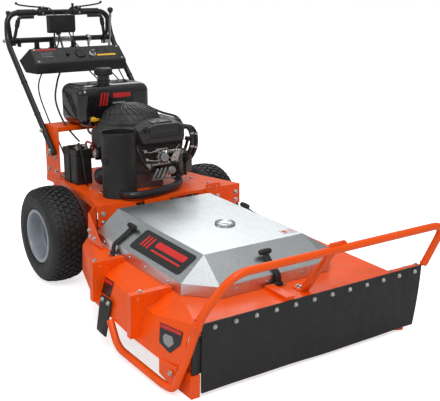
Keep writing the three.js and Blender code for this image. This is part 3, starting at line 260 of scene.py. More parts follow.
def cross_frames(path):
    """For each station of a path: its point and two unit vectors square to it, without twist."""
    points = [Vector(p) for p in path]
    tangents = []
    for i in range(len(points)):
        before = points[max(i - 1, 0)]
        after = points[min(i + 1, len(points) - 1)]
        tangents.append((after - before).normalized())
    side = tangents[0].orthogonal().normalized()
    frames = []
    for i, tangent in enumerate(tangents):
        if i:
            side = tangents[i - 1].rotation_difference(tangent) @ side
        side = (side - tangent * side.dot(tangent)).normalized()
        frames.append((points[i], side, tangent.cross(side).normalized()))
    return frames


def bent_line(corners, bend, steps=8):
    """Straight runs with a round bend at each inner corner."""
    points = [Vector(c) for c in corners]
    line = [points[0]]
    for i in range(1, len(points) - 1):
        back = points[i - 1] - points[i]
        ahead = points[i + 1] - points[i]
        reach = min(bend, back.length * 0.45, ahead.length * 0.45)
        start = points[i] + back.normalized() * reach
        end = points[i] + ahead.normalized() * reach
        for k in range(steps + 1):
            t = k / steps
            line.append(start * (1 - t) ** 2 + points[i] * 2 * t * (1 - t) + end * t * t)
    line.append(points[-1])
    return line


def flowing_line(corners, steps=8):
    """A smooth line through the given points."""
    points = [Vector(c) for c in corners]
    points = [points[0] * 2 - points[1], *points, points[-1] * 2 - points[-2]]
    line = []
    for i in range(1, len(points) - 2):
        a, b, c, d = points[i - 1:i + 3]
        for k in range(steps):
            t = k / steps
            square = (2 * a - 5 * b + 4 * c - d) * t ** 2
            cube = (3 * b - a - 3 * c + d) * t ** 3
            line.append(0.5 * (2 * b + (c - a) * t + square + cube))
    line.append(points[-2])
    return line


class Shape:
    """A mesh that is put together from solids, in millimetres."""

    def __init__(self):
        self.bm = bmesh.new()

    def ring(self, points):
        return [self.bm.verts.new(point) for point in points]

    def faces(self, points, faces):
        made = self.ring(points)
        for face in faces:
            self.bm.faces.new([made[i] for i in face])
        return self

    def skin(self, rings, ends=True):
        """Closes the sides between rings of vertices, and the two ends."""
        for first, second in zip(rings, rings[1:]):
            for i in range(len(first)):
                j = (i + 1) % len(first)
                self.bm.faces.new((first[i], first[j], second[j], second[i]))
        if ends:
            self.bm.faces.new(rings[0])
            self.bm.faces.new(rings[-1])
        return self

    def plate(self, outline, place, low, high):
        """A thin plate: place(a, b, lift) puts the outline's points at two heights over a surface."""
        return self.skin([self.ring([place(a, b, lift) for a, b in outline]) for lift in (low, high)])

    def sheet(self, columns, rows, place):
        """A thin sheet: place(u, v, side) gives its points, with u and v from 0 to 1 and side 0 or 1."""
        new = self.bm.verts.new
        grid = {(i, j, k): new(place(i / columns, j / rows, k)) for i in range(columns + 1)
                for j in range(rows + 1) for k in (0, 1)}
        quads = [((i, j, k), (i + 1, j, k), (i + 1, j + 1, k), (i, j + 1, k)) for i in range(columns)
                 for j in range(rows) for k in (0, 1)]
        quads += [((i, j, 0), (i + 1, j, 0), (i + 1, j, 1), (i, j, 1)) for i in range(columns)
                  for j in (0, rows)]
        quads += [((i, j, 0), (i, j + 1, 0), (i, j + 1, 1), (i, j, 1)) for j in range(rows)
                  for i in (0, columns)]
        for quad in quads:
            self.bm.faces.new([grid[key] for key in quad])
        return self

    def box(self, x0, x1, y0, y1, z0, z1):
        corners = [(x, y, z) for x in (x0, x1) for y in (y0, y1) for z in (z0, z1)]
        return self.faces(corners, [(0, 1, 3, 2), (4, 6, 7, 5), (0, 4, 5, 1), (2, 3, 7, 6), (0, 2, 6, 4),
                                    (1, 5, 7, 3)])

    def hull(self, points):
        made = self.ring(points)
        result = bmesh.ops.convex_hull(self.bm, input=made)
        loose = {g for g in result["geom_interior"] + result["geom_unused"]
                 if isinstance(g, bmesh.types.BMVert)}
        bmesh.ops.delete(self.bm, geom=list(loose), context="VERTS")
        edges = {e for v in made if v.is_valid for e in v.link_edges}
        verts = [v for v in made if v.is_valid]
        bmesh.ops.dissolve_limit(self.bm, angle_limit=0.02, verts=verts, edges=list(edges))
        return self

    def prism(self, outline, low, high, axis="Z", holes=()):
        """An outline of (x, y) points, or (y, z) for the X axis or (x, z) for Y, between two heights."""
        order = {"Z": (0, 1, 2), "X": (2, 0, 1), "Y": (0, 2, 1)}[axis]

        def place(a, b, h):
            return [(a, b, h)[i] for i in order]

        loops = [list(outline), *[list(hole) for hole in holes]]
        rings = []
        for h in (low, high):
            rings.append([self.ring([place(a, b, h) for a, b in loop]) for loop in loops])
        for pair in zip(*rings):
            self.skin(pair, ends=False)
        for ring in rings:
            if len(loops) == 1:
                self.bm.faces.new(ring[0])
                continue
            flat = [v for loop in ring for v in loop]
            for triangle in tessellate_polygon([[Vector((a, b, 0)) for a, b in loop] for loop in loops]):
                self.bm.faces.new([flat[i] for i in triangle])
        return self

    def sweep(self, path, section, closed=False):
        """A section of (a, b) offsets carried along a path."""
        rings = [self.ring([point + u * a + v * b for a, b in section])
                 for point, u, v in cross_frames(path)]
        return self.skin(rings + rings[:1] if closed else rings, ends=not closed)

    def tube(self, path, radius, sides=20):
        return self.sweep(path, [(radius * math.cos(a), radius * math.sin(a)) for a in turns(sides)])

    def hose(self, corners, radius, sides=14, steps=8):
        """A tube along a smooth line through the given points."""
        return self.tube(flowing_line(corners, steps), radius, sides)

    def rod(self, start, end, radius, sides=24):
        return self.tube([start, end], radius, sides)

    def lathe(self, profile, centre=(0, 0, 0), axis=(0, 0, 1), sides=48, closed=False):
        """A profile of (radius, distance) points turned about an axis."""
        axis = Vector(axis).normalized()
        u = axis.orthogonal().normalized()
        v = axis.cross(u)
        centre = Vector(centre)
        rings = []
        for radius, distance in profile:
            middle = centre + axis * distance
            if radius < 1e-6:
                rings.append(self.ring([middle]))
            else:
                rings.append(self.ring([middle + (u * math.cos(a) + v * math.sin(a)) * radius
                                        for a in turns(sides)]))
        for first, second in zip(rings, rings[1:] + rings[:1] if closed else rings[1:]):
            for i in range(sides):
                j = (i + 1) % sides
                loop = [first[i % len(first)], first[j % len(first)], second[j % len(second)],
                        second[i % len(second)]]
                unique = list(dict.fromkeys(loop))
                if len(unique) > 2:
                    self.bm.faces.new(unique)
        return self

    def band(self, inner, outer, half_width, centre, axis, sides):
        profile = [(inner, -half_width), (outer, -half_width), (outer, half_width), (inner, half_width)]
        return self.lathe(profile, centre, axis, sides, closed=True)

    def bolt(self, place, normal, across=13, washer=True):
        """A hexagon bolt head on its washer, standing on a surface."""
        r = across / math.sqrt(3)
        start = 0.0
        if washer:
            self.lathe([(0, -0.5), (r * 1.45, -0.5), (r * 1.5, 0.6), (r * 1.42, 1.8), (0, 1.8)], place,
                       normal, 20)
            start = 1.6
        self.lathe([(0, start), (r, start), (r, start + across * 0.42), (r * 0.82, start + across * 0.52),
                    (0, start + across * 0.54)], place, normal, 6)
        return self

    def bolts(self, places, normal, across=13):
        for place in places:
            self.bolt(place, normal, across)
        return self

    def turn(self, matrix):
        self.bm.transform(matrix)
        return self


def turns(count, offset=0.0):
    return [offset + 2 * math.pi * i / count for i in range(count)]


def rounded(x0, x1, y0, y1, radius, steps=5):
    """The outline of a rectangle with round corners."""
    points = []
    corners = ((x1 - radius, y1 - radius, 0), (x0 + radius, y1 - radius, 1), (x0 + radius, y0 + radius, 2),
               (x1 - radius, y0 + radius, 3))
    for cx, cy, quarter in corners:
        for k in range(steps + 1):
            a = math.pi / 2 * (quarter + k / steps)
            points.append((cx + radius * math.cos(a), cy + radius * math.sin(a)))
    return points


def circle(cx, cy, radius, count=20):
    return [(cx + radius * math.cos(a), cy + radius * math.sin(a)) for a in turns(count)]


def ease_edges(obj, width, segments, crease):
    modifier = obj.modifiers.new("edges", "BEVEL")
    modifier.width = width * MM
    modifier.segments = segments
    modifier.limit_method = "ANGLE"
    modifier.angle_limit = math.radians(crease)
    modifier.harden_normals = True


def piece(name, shape, finish, body="chassis", place=LEVEL, replaces=(), bevel=0.0, segments=2, crease=35):
    """Turns a shape into an object that rides on a body and takes a finish."""
    bmesh.ops.recalc_face_normals(shape.bm, faces=shape.bm.faces[:])
    shape.bm.transform(place)
    mesh = bpy.data.meshes.new(name)
    shape.bm.to_mesh(mesh)
    shape.bm.free()
    mesh.shade_smooth()
    mesh.set_sharp_from_angle(angle=math.radians(crease))
    obj = bpy.data.objects.new(name, mesh)
    bpy.context.scene.collection.objects.link(obj)
    material, slot = FINISHES[finish]
    mesh.materials.append(material)
    if bevel:
        ease_edges(obj, bevel, segments, crease)
    if body is not None:
        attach(obj, body)
    if replaces:
        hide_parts(*replaces)
    return obj


def dress(node, finish, bevel=1.2, segments=2, crease=30):
    """Finishes a CAD node that is shown as it is: its edges are eased and it takes a material."""
    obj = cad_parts[node]
    obj.data.materials.clear()
    obj.data.materials.append(FINISHES[finish][0])
    weld = obj.modifiers.new("weld", "WELD")
    weld.merge_threshold = 0.00002
    ease_edges(obj, bevel, segments, crease)


# ------------------------------------------------------------------ cutting deck

DECK_TOP = 241
BUMPER_RADIUS = 13
GUARD_LINE = [(-536, 462, 90), (-541, 400, 17), (-541, 105, 17), (-537, 48, 24), (-507, 20, 135),
              (-491, -3, 240)]
BUMPER_LINE = [(-488, -5, 251), (-469, -24, 305), (-400, -57, 407), (504, -57, 407), (470, -9, 250)]


def guard_and_bumper():
    guard = Shape().tube(bent_line(GUARD_LINE, 40), BUMPER_RADIUS, 24)
    guard.lathe([(0, 0), (12.6, 0), (12.6, 1.4), (0, 1.4)], GUARD_LINE[0], (0.04, 0.65, 0.76), 24)
    piece("side_guard_tube", guard, "orange", place=DECK, replaces=("side_guard",), crease=50)

    bumper = Shape().tube(bent_line(BUMPER_LINE, 62), BUMPER_RADIUS, 24)
    tab = [(-32, 407), (40, 407), (40, 425), (34, 431), (-26, 431), (-32, 425)]
    bumper.prism(tab, -57, -49, "Y", holes=[circle(24, 424.5, 3.6, 16)])
    bumper.box(464, 476, -9, 4, 242.8, 258)
    piece("bumper_tube", bumper, "orange", place=DECK, replaces=("front_bumper",), crease=50, bevel=0.6)

    joint = Shape()
    up = Vector((0.12, -0.14, 0.98))
    joint.lathe([(13.2, -15), (16, -15), (16.6, -13), (16.6, 13), (16, 15), (13.2, 15)], (-489.5, -4, 246),
                up, 28, closed=True)
    joint.bolt((-503, -14, 247), (-0.75, -0.66, 0), 10)
    piece("bumper_sleeve", joint, "orange", place=DECK, bevel=0.4)

    studs = Shape()
    studs.rod((476, -2, 247), (500, -2, 247), 4.5, 16)
    studs.bolt((482, -2, 247), (1, 0, 0), 13)
    studs.bolt((-43, 60, DECK_TOP + 4.5), (0, 0, 1), 12)
    studs.bolt((-43, 75, DECK_TOP + 4.5), (0, 0, 1), 10)
    studs.bolt((-539.5, 66, 72), (-1, -0.05, 0), 11)
    piece("deck_bolts", studs, "zinc", place=DECK, bevel=0.3)


def weld_bead(shape, start, end, radius=2.2, step=5):
    """A row of small overlapping ripples."""
    along = end - start
    count = max(int(along.length / step), 2)
    for i in range(count):
        centre = start + along * ((i + 0.5) / count)
        shape.lathe([(0, -step * 0.75), (radius * 0.7, -step * 0.4), (radius, 0),
                     (radius * 0.7, step * 0.4), (0, step * 0.75)], centre, along, 8)


def side_patch(shape, anchor, normal, outline, low, high):
    """A thin plate on the deck's right side, from an outline of (y, z) corners."""
    normal = Vector(normal).normalized()

    def place(y, z, lift):
        x = anchor[0] - ((y - anchor[1]) * normal.y + (z - anchor[2]) * normal.z) / normal.x
        return Vector((x, y, z)) + normal * lift

    shape.plate(outline, place, low, high)


FRONT_BAY = ((-508.5, 176.5, 190.5), (-0.951, -0.013, 0.31))
REAR_BAY = ((-496.6, 530.7, 181.8), (-0.952, 0.062, 0.30))


def deck_labels():
    plates, heads, marks = Shape(), Shape(), Shape()
    side_patch(plates, *FRONT_BAY, [(176, 190), (52, 204), (48, 166), (86, 127), (152, 136)], 0.4, 1.6)
    side_patch(heads, *FRONT_BAY, [(172, 188), (58, 201), (57, 192), (170, 178)], 1.6, 2.1)
    side_patch(marks, *FRONT_BAY, [(134, 170), (96, 174), (80, 158), (98, 140), (128, 143), (142, 158)],
               1.6, 2.1)
    side_patch(plates, *REAR_BAY, [(584, 196), (516, 202), (516, 150), (584, 142)], 0.6, 1.8)
    side_patch(heads, *REAR_BAY, [(580, 193), (520, 198), (520, 188), (580, 182)], 1.8, 2.3)
    piece("deck_labels", plates, "label", place=DECK)
    piece("deck_label_heads", heads, "label_red", place=DECK)
    piece("deck_label_marks", marks, "label_grey", place=DECK)
    closing = Shape().box(-146, -26, 907, 911, 243, 342)
    piece("belt_opening_plate", closing, "orange", place=DECK, bevel=0.8)


def dress_deck():
    dress("deck_shell", "orange", 1.4)
    dress("bumper_strut", "orange", 1.0)
    for node in ("skid_foot_right", "skid_foot_left"):
        dress(node, "orange", 2.5, 3)
    for node in ("hanger_plate_right", "hanger_plate_left"):
        dress(node, "orange", 1.0)
    dress("blade", "steel", 1.0)
    for node in ("spindle_housing", "idler_pulley"):
        dress(node, "iron", 0.8)
    dress("spindle_shaft", "steel", 0.6)
    dress("idler_arm", "zinc", 0.8)
    dress("drive_belt", "rubber", 1.0)


def deck_welds():
    welds = Shape()
    for y, end in ((268, -500), (588, -492)):
        start = Vector((-409, y, 243))
        finish = Vector((end, y, 243))
        for k in range(3):
            weld_bead(welds, start.lerp(finish, (k + 0.15) / 3), start.lerp(finish, (k + 0.6) / 3))
    weld_bead(welds, Vector((-131, 118.5, 243)), Vector((-149, 118.5, 243)))
    piece("deck_welds", welds, "orange", place=DECK, crease=60)


def deck_fixings():
    fixings = Shape()
    for y in (286, 606):
        fixings.bolt((-520, y, 255), (0, 0, 1), 10)
    for side in (-1, 1):
        x = COVER_X + side * (COVER_HALF + 16)
        for y, z in ((800, 262), (835, 262), (842, 284)):
            fixings.bolt((x, y, z), (side, 0, 0), 11)
    for x, y in ((330, 13), (400, 13), (455, 13)):
        fixings.bolt((x, y + 3, DECK_TOP), (0, 0, 1), 8)
    piece("deck_fixings", fixings, "zinc", place=DECK, bevel=0.3)


def latch_anchors():
    """Wire loops on the deck that the latches hook on."""
    anchors = Shape()
    for x, y, along in ((-421, 655, (0, 1, 0)), (241, 655, (0, 1, 0)), (-92, 115, (1, 0, 0))):
        along = Vector(along)
        centre = Vector((x, y, 250))
        anchors.tube(bent_line([centre - along * 22 + Vector((0, 0, -9)), centre - along * 22,
                                centre + along * 22, centre + along * 22 + Vector((0, 0, -9))], 6), 3.2, 12)
        for end in (-22, 22):
            foot = centre + along * end
            anchors.box(foot.x - 7, foot.x + 7, foot.y - 7, foot.y + 7, DECK_TOP + 0.2, DECK_TOP + 3)
    piece("latch_anchors", anchors, "zinc", place=DECK, bevel=0.3, crease=50)


# The flap hangs from its bolted upper edge and waves a little along its foot.
FLAP_HALF = 470
FLAP_TOP = 241
FLAP_FOOT = 15


def flap_sheet():
    def place(u, v, side):
        foot = FLAP_FOOT + 1.2 * math.sin(u * 9)
        z = FLAP_TOP + (foot - FLAP_TOP) * v
        pull = max(u - 0.93, 0) / 0.07 * v * v * 22
        near_bolts = math.exp(-((z - 224) / 16) ** 2)
        dimple = 1.1 * near_bolts * (0.5 - 0.5 * math.cos(u * 2 * math.pi * 12))
        wave = v * v * (2.4 + 1.5 * math.sin(u * 11 + 0.6) + 0.7 * math.sin(u * 23 + 2.0))
        return -FLAP_HALF + 2 * FLAP_HALF * u - pull, 0.4 - dimple - wave + 4.6 * side, z

    shape = Shape().sheet(120, 30, place)
    flap = piece("flap_sheet", shape, "rubber", body=None, place=DECK,
                 replaces=("flap_bolt_strip", "front_flap"), crease=50)
    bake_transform(flap)

    bolts = Shape()
    for i in range(12):
        bolts.bolt((-424 + 78.2 * i, -0.4, 224), (0, -1, 0), 9.5)
    piece("flap_bolts", bolts, "zinc", place=DECK, bevel=0.3)


def small_flaps():
    corner = Shape()
    corner.prism([(-500, 78), (-466, 79), (-466, 236), (-499, 236)], 5.5, 12, "Y")
    piece("corner_flap", corner, "rubber", place=DECK, bevel=0.8)

    def place(u, v, side):
        x = -521.5 - 22 * v - 3.5 * v * v * math.sin(u * 4 + 0.5) + (-2.4, 2.2)[side]
        return x, 479 + 76 * u, 150 - 126 * v + (2 if v == 1 else 0) * math.sin(u * 5)

    side = Shape().sheet(8, 14, place)
    piece("side_flap_sheet", side, "rubber", place=DECK, replaces=("side_flap",), crease=50)
    bolts = Shape().bolts([(-526, 496, 138), (-526, 538, 138)], (-1, 0, 0.15), 10)
    piece("side_flap_bolts", bolts, "zinc", place=DECK, bevel=0.3)


# ------------------------------------------------------------------ belt cover

COVER_X = -90
COVER_HALF = 317
COVER_FRONT = 129
SKIRT_TOP = DECK_TOP + 41
COVER_TOP = 350
TOP_HALF = COVER_HALF - 107


SLOPE_LENGTH = 127


def on_right_slope(along, up, lift):
    """A point over the cover's right-hand slope: along it in Y, and up it from the skirt."""
    low = Vector((COVER_X - COVER_HALF, 0, SKIRT_TOP))
    high = Vector((COVER_X - TOP_HALF, 0, COVER_TOP))
    normal = Vector((-(high.z - low.z), 0, high.x - low.x)).normalized()
    point = low.lerp(high, up / SLOPE_LENGTH) + normal * lift
    return Vector((point.x, along, point.z))


def slope_patch(shape, y0, y1, up0, up1, low, high, radius):
    """A thin plate with round corners on the right-hand slope, from up0 to up1 of the slope's length."""
    outline = rounded(y0, y1, up0 * SLOPE_LENGTH, up1 * SLOPE_LENGTH, radius)
    return shape.plate(outline, on_right_slope, low, high)


def belt_cover():
    dress("belt_cover", "silver", 3.5, 4)
    badge = slope_patch(Shape(), 262, 592, 0.14, 0.86, 0.4, 1.6, 14)
    piece("cover_badge", badge, "label", place=DECK, bevel=0.5)
    # A generic device: a slanted stripe group and two plain bars.
    stripes = Shape()
    for k in range(3):
        slope_patch(stripes, 500 + 20 * k, 510 + 20 * k, 0.34, 0.72, 1.6, 2.2, 2)
    slope_patch(stripes, 292, 476, 0.34, 0.40, 1.6, 2.2, 2)
    piece("cover_badge_stripes", stripes, "label_red", place=DECK)
    bars = Shape()
    slope_patch(bars, 292, 476, 0.50, 0.70, 1.6, 2.2, 4)
    piece("cover_badge_bar", bars, "label_red", place=DECK)

    sticker = Shape().prism(rounded(58, 116, 275, 312, 3), COVER_TOP + 0.3, COVER_TOP + 0.9)
    piece("cover_sticker", sticker, "label_white", place=DECK)
    marks = Shape().prism(rounded(64, 80, 281, 306, 2), COVER_TOP + 0.9, COVER_TOP + 1.2)
    for k in range(3):
        marks.prism(rounded(86, 111, 283 + 8 * k, 286 + 8 * k, 1), COVER_TOP + 0.9, COVER_TOP + 1.2)
    piece("cover_sticker_marks", marks, "label_red", place=DECK)


def cover_cap():
    z = COVER_TOP
    cap = Shape().lathe([(0, z + 4.0), (14, z + 4.0), (17, z + 5.5), (24, z + 5.5), (27, z + 4.2),
                         (30, z + 6), (34, z + 8.6), (37.5, z + 6.4), (38, z + 2), (38, z + 0.4),
                         (22, z + 0.4), (22, z - 8), (0, z - 8)], (-58, 476, 0), sides=56)
    for a in turns(3, 0.4):
        cap.bolt((-58 + 20.5 * math.cos(a), 476 + 20.5 * math.sin(a), z + 5.4), (0, 0, 1), 4.5, washer=False)
    piece("cover_cap_disc", cap, "silver", place=DECK, replaces=("cover_cap",), crease=40)


RIVET = [(0, 0), (5, 0), (4.4, 2), (2.5, 3.2), (0, 3.6)]


def cover_rivets():
    rivets = Shape()
    for x in (-250, -130, 20):
        rivets.lathe(RIVET, (x, COVER_FRONT - 0.2, 262), (0, -1, 0), 14)
    for y in (300, 450, 560, 750):
        for side in (-1, 1):
            rivets.lathe(RIVET, (COVER_X + side * (COVER_HALF + 0.2), y, 262), (side, 0, 0), 14)
    piece("cover_rivets", rivets, "zinc", place=DECK)


def latch(name, body, node, x, y, turn):
    """A moulded rubber strap with a T-handle, hooked on a wire at the deck."""
    shape = Shape()
    line = flowing_line([(10, 0, 6), (11, 0, 24), (6, 0, 42), (-8, 0, 52), (-30, 0, 66), (-56, 0, 84),
                         (-66, 0, 94)], 5)
    section = rounded(-3.6, 3.6, -12.5, 12.5, 3, 3)
    ahead = Vector((0, 1, 0))
    rings = []
    for i, point in enumerate(line):
        run = line[min(i + 1, len(line) - 1)] - line[max(i - 1, 0)]
        out = run.normalized().cross(ahead)
        waist = 1.0 - 0.22 * math.sin(math.pi * i / (len(line) - 1))
        rings.append(shape.ring([point + out * a + ahead * b * waist for a, b in section]))
    shape.skin(rings)
    handle = [(0, -26), (5.5, -25), (9, -21), (10, -12), (10.5, 0), (10, 12), (9, 21), (5.5, 25), (0, 26)]
    shape.lathe(handle, (-66, 0, 97), (0, 1, 0), 20)
    shape.lathe([(0, -17), (5.5, -17), (7, -15.5), (7, 15.5), (5.5, 17), (0, 17)], (11, 0, 8), (0, 1, 0), 20)
    for offset in (-9, 9):
        shape.lathe([(7.4, offset - 2), (8.4, offset), (7.4, offset + 2)], (11, 0, 8), (0, 1, 0), 20)
    shape.turn(Matrix.Translation((x, y, DECK_TOP + 1)) @ Matrix.Rotation(turn, 4, "Z"))
    piece(name, shape, "rubber", body=body, place=DECK, replaces=(node,), crease=60)


# ------------------------------------------------------------------ chassis and tower

PLATE_TOP = 386
TOWER_HALF = 261
TOWER_TOP = 619


def chassis():
    dress("chassis_frame", "orange", 1.2)
    dress("rear_tower", "orange", 1.6, 3)
    bracket = Shape()
    ear = rounded(160, 232, 322, 408, 12)
    bracket.prism(ear, 905, 911, "Y", holes=[circle(214, 390, 7), circle(178, 390, 7)])
    bracket.box(166, 226, 911, 916, 330, 372)
    bracket.prism([(905, 372), (915, 372), (915, 340)], 160, 165, "X")
    piece("chassis_lift_bracket", bracket, "orange", bevel=1.0)

    fixings = Shape()
    for x in (-318, 318):
        for z in (318, 352):
            fixings.bolt((x, 915.8, z), (0, -1, 0), 13)
    for x in (174, 218):
        fixings.bolt((x, 904.8, 350), (0, -1, 0), 12)
    for side in (-1, 1):
        for y, z in ((1475, 482), (1552, 482), (1475, 420), (1552, 420)):
            fixings.bolt((side * TOWER_HALF, y, z), (side, 0, 0), 13)
        for y in (1452, 1480):
            fixings.bolt((side * (TOWER_HALF - 22), y + 12, PLATE_TOP + 4.4), (0, 0, 1), 12)
        for y in (985, 1120, 1210):
            fixings.bolt((side * 224, y, PLATE_TOP), (0, 0, 1), 12)
    for x in (-105, -40, 60, 96):
        fixings.bolt((x, 1382, TOWER_TOP), (0, 0, 1), 8)
    piece("chassis_bolts", fixings, "zinc", bevel=0.3)


def transaxle():
    dress("transaxle", "aluminium", 3.0, 3)
    parts = Shape()
    for k in range(7):
        x = -72 + 24 * k
        parts.box(x - 2, x + 2, AXLE_Y - 62, AXLE_Y + 72, 262, 281)
    for side in (-1, 1):
        parts.lathe([(26.2, 0), (40, 0), (41, 2), (41, 10), (38, 12), (26.2, 12)],
                    (side * 96, AXLE_Y, AXLE_Z), (side, 0, 0), 32, closed=True)
        parts.lathe([(26.2, 0), (34, 0), (35, 2), (35, 14), (26.2, 14)], (side * 247, AXLE_Y, AXLE_Z),
                    (side, 0, 0), 32, closed=True)
    piece("transaxle_ribs", parts, "aluminium", bevel=0.8)
    bolts = Shape()
    for side in (-1, 1):
        for a in turns(6):
            bolts.bolt((side * 108, AXLE_Y + 33 * math.cos(a), AXLE_Z + 33 * math.sin(a)), (side, 0, 0), 8)
    piece("transaxle_bolts", bolts, "zinc", bevel=0.3)
    drum = Shape()
    for side in (-1, 1):
        drum.lathe([(30.5, 0), (70, 0), (74, 3), (74, 30), (70, 33), (66, 33), (66, 6), (30.5, 6)],
                   (side * 268, AXLE_Y, AXLE_Z), (side, 0, 0), 40, closed=True)
    piece("brake_drums", drum, "iron", bevel=0.8)
    arms = Shape()
    for side in (-1, 1):
        arms.hull([(side * x, AXLE_Y + y, AXLE_Z + z) for x in (262, 266)
                   for y, z in ((20, 70), (44, 66), (52, 132), (68, 130))])
    piece("brake_arms", arms, "zinc", bevel=0.6)


# ------------------------------------------------------------------ wheels

TYRE_RADIUS = 203
WHEEL_X = 383
AXLE = (0, AXLE_Y, AXLE_Z)
RIM_RADIUS = 101


HALF_WIDTH = 80
CROWN = TYRE_RADIUS - 7.5
LUGS = 44
LUG_PITCH = 2 * math.pi / LUGS


def tread(shape, side):
    """Five staggered rows of blocks: each row's offset from the middle, half-width and phase."""
    rows = [(0, 11.5, 0.0), (23, 9.0, 0.5), (-23, 9.0, 0.5), (42, 7.5, 0.0), (-42, 7.5, 0.0)]
    for offset, half_width, phase in rows:
        drop = (abs(offset) / 52) ** 2 * 4.0
        skew = 0.10 * LUG_PITCH * (1 if offset >= 0 else -1)
        for k in range(LUGS):
            middle = LUG_PITCH * (k + phase)
            corners = []
            for radius, shrink in ((CROWN - 3 - drop, 1.0), (TYRE_RADIUS - drop, 0.86)):
                span = LUG_PITCH * 0.36 * shrink
                for da, dx in ((-span, -1), (span, -1), (span, 1), (-span, 1)):
                    a = middle + da + skew * dx
                    tilt = -(abs(offset + dx * half_width) / 60) ** 3 * 4.5
                    corners.append((side * (WHEEL_X + offset + dx * half_width * shrink),
                                    AXLE_Y + (radius + tilt) * math.cos(a),
                                    AXLE_Z + (radius + tilt) * math.sin(a)))
            shape.faces(corners, [(0, 1, 2, 3), (4, 5, 6, 7), (0, 1, 5, 4), (1, 2, 6, 5), (2, 3, 7, 6),
                                  (3, 0, 4, 7)])


def shoulder_lugs(shape, side):
    for k in range(LUGS):
        for sign in (-1, 1):
            a = LUG_PITCH * (k + 0.5)
            span = LUG_PITCH * 0.30
            corners = []
            for radius, x in ((196.0, 52), (196.5, 57), (189.5, 68), (187, 66)):
                for da in (-span, span):
                    corners.append((side * (WHEEL_X + sign * x), AXLE_Y + radius * math.cos(a + da),
                                    AXLE_Z + radius * math.sin(a + da)))
            shape.faces(corners, [(0, 1, 3, 2), (2, 3, 5, 4), (4, 5, 7, 6), (6, 7, 1, 0), (0, 2, 4, 6),
                                  (1, 3, 5, 7)])


def tyre(word, side):
    outer = [(102, 66), (106, 67.5), (115.5, 67), (118.5, 71), (122, 74.5), (126, 75), (130, 77.6),
             (140, 79.4), (152, 79.9), (164, 79), (168, 79.4), (171, 77.6), (180, 74), (187, 68), (192, 60),
             (194.6, 50), (CROWN, 30), (CROWN + 0.6, 0)]
    profile = [(r, WHEEL_X + x) for r, x in outer] + [(r, WHEEL_X - x) for r, x in reversed(outer[:-1])]
    shape = Shape().lathe(profile, AXLE, (side, 0, 0), 96, closed=True)
    tread(shape, side)
    shoulder_lugs(shape, side)
    piece(f"tyre_{word}_treaded", shape, "tyre", body=f"wheel_{word}", replaces=(f"tyre_{word}",), crease=38)


def rim(word, side):
    """The pressed rim's section, from the hub's flange round the well and the two beads, and back."""
    out = WHEEL_X + HALF_WIDTH
    inn = WHEEL_X - HALF_WIDTH
    barrel = [(30, 330), (44, 330.5), (50, 334), (62, 338), (66, 341), (70, 350), (74, 352.5), (88, 353),
              (94, 349), (96.5, 340), (96.5, inn + 18), (100, inn + 15), (107, inn + 14), (112, inn + 15),
              (113.5, inn + 18), (112.5, inn + 20.5), (107, inn + 20), (RIM_RADIUS, inn + 20),
              (RIM_RADIUS, out - 14), (107, out - 13.6), (112, out - 13.5), (113.8, out - 11),
              (113.5, out - 8), (111, out - 6.4), (104, out - 6.6), (99.5, out - 8), (97.6, out - 12),
              (96.6, out - 30), (96.0, 404), (93, 399), (87, 395), (85, 388), (84.4, 364), (82, 359),
              (74, 358), (68, 357), (62, 348), (50, 343), (44, 338.5), (30, 338)]
    shape = Shape().lathe(barrel, AXLE, (side, 0, 0), 96, closed=True)
    piece(f"rim_{word}_pressed", shape, "rim", body=f"wheel_{word}", replaces=(f"wheel_rim_{word}",),
          crease=45)


def hub(word, side):
    """The hub on its half-shaft, with the wheel's nuts and the tyre's valve."""
    body = f"wheel_{word}"
    axis = (side, 0, 0)
    shape = Shape()
    shape.lathe([(0, 110), (15.6, 110), (15.6, 262), (30, 262), (30, 322), (33, 324), (60, 324), (62, 326),
                 (62, 330), (60, 331), (32, 331), (31, 346), (27, 349), (18, 350), (17, 352), (17, 358),
                 (14, 360), (0, 360)], AXLE, axis, 40)
    piece(f"hub_{word}_shaft", shape, "steel", body=body, crease=40)
    nuts = Shape()
    for a in turns(4, 0.6):
        nuts.bolt((side * 340, AXLE_Y + 46 * math.cos(a), AXLE_Z + 46 * math.sin(a)), axis, 14)
    nuts.bolt((side * 357, AXLE_Y, AXLE_Z), axis, 20)
    a = 2.3
    stem = Vector((side * 386, AXLE_Y + 88 * math.cos(a), AXLE_Z + 88 * math.sin(a)))
    nuts.lathe([(0, -6), (5, -6), (4.6, 10), (3, 12), (3, 24), (3.8, 24.5), (3.8, 31), (0, 31.5)], stem,
               axis, 16)
    piece(f"wheel_{word}_nuts", nuts, "zinc", body=body, bevel=0.3)


# ------------------------------------------------------------------ engine

ENGINE_X, ENGINE_Y = -30, 1200
SHROUD_TOP = 652
CYLINDER_ANGLES = {"front": -0.5, "rear": 1.07}
CYLINDER_STRETCH = {"front": 30, "rear": 0}
CYLINDER_Z = 474


def crankcase():
    dress("crankcase", "aluminium", 2.5, 3)
    dress("crankshaft", "steel", 0.5)
    dress("flywheel_fan", "aluminium", 0.6)
    x, y = ENGINE_X, ENGINE_Y
    bolts = Shape()
    for px, py in ((-95, -85), (65, -112), (110, -50), (110, 72), (-70, 108), (-98, 40)):
        bolts.bolt((x + px, y + py, PLATE_TOP + 60.4), (0, 0, 1), 11)
    for px, py in ((-74, -64), (50, -84), (30, 88), (-56, 84)):
        bolts.bolt((x + px, y + py, 548), (0, 0, 1), 10)
    piece("crankcase_bolts", bolts, "zinc", bevel=0.3)

    ribs = Shape()
    for z in range(462, 545, 14):
        ribs.box(x - 94, x - 84, y - 10, y + 60, z, z + 3)
        ribs.box(x - 70, x + 40, y - 86, y - 78, z, z + 3)
    piece("crankcase_ribs", ribs, "aluminium", bevel=0.6)


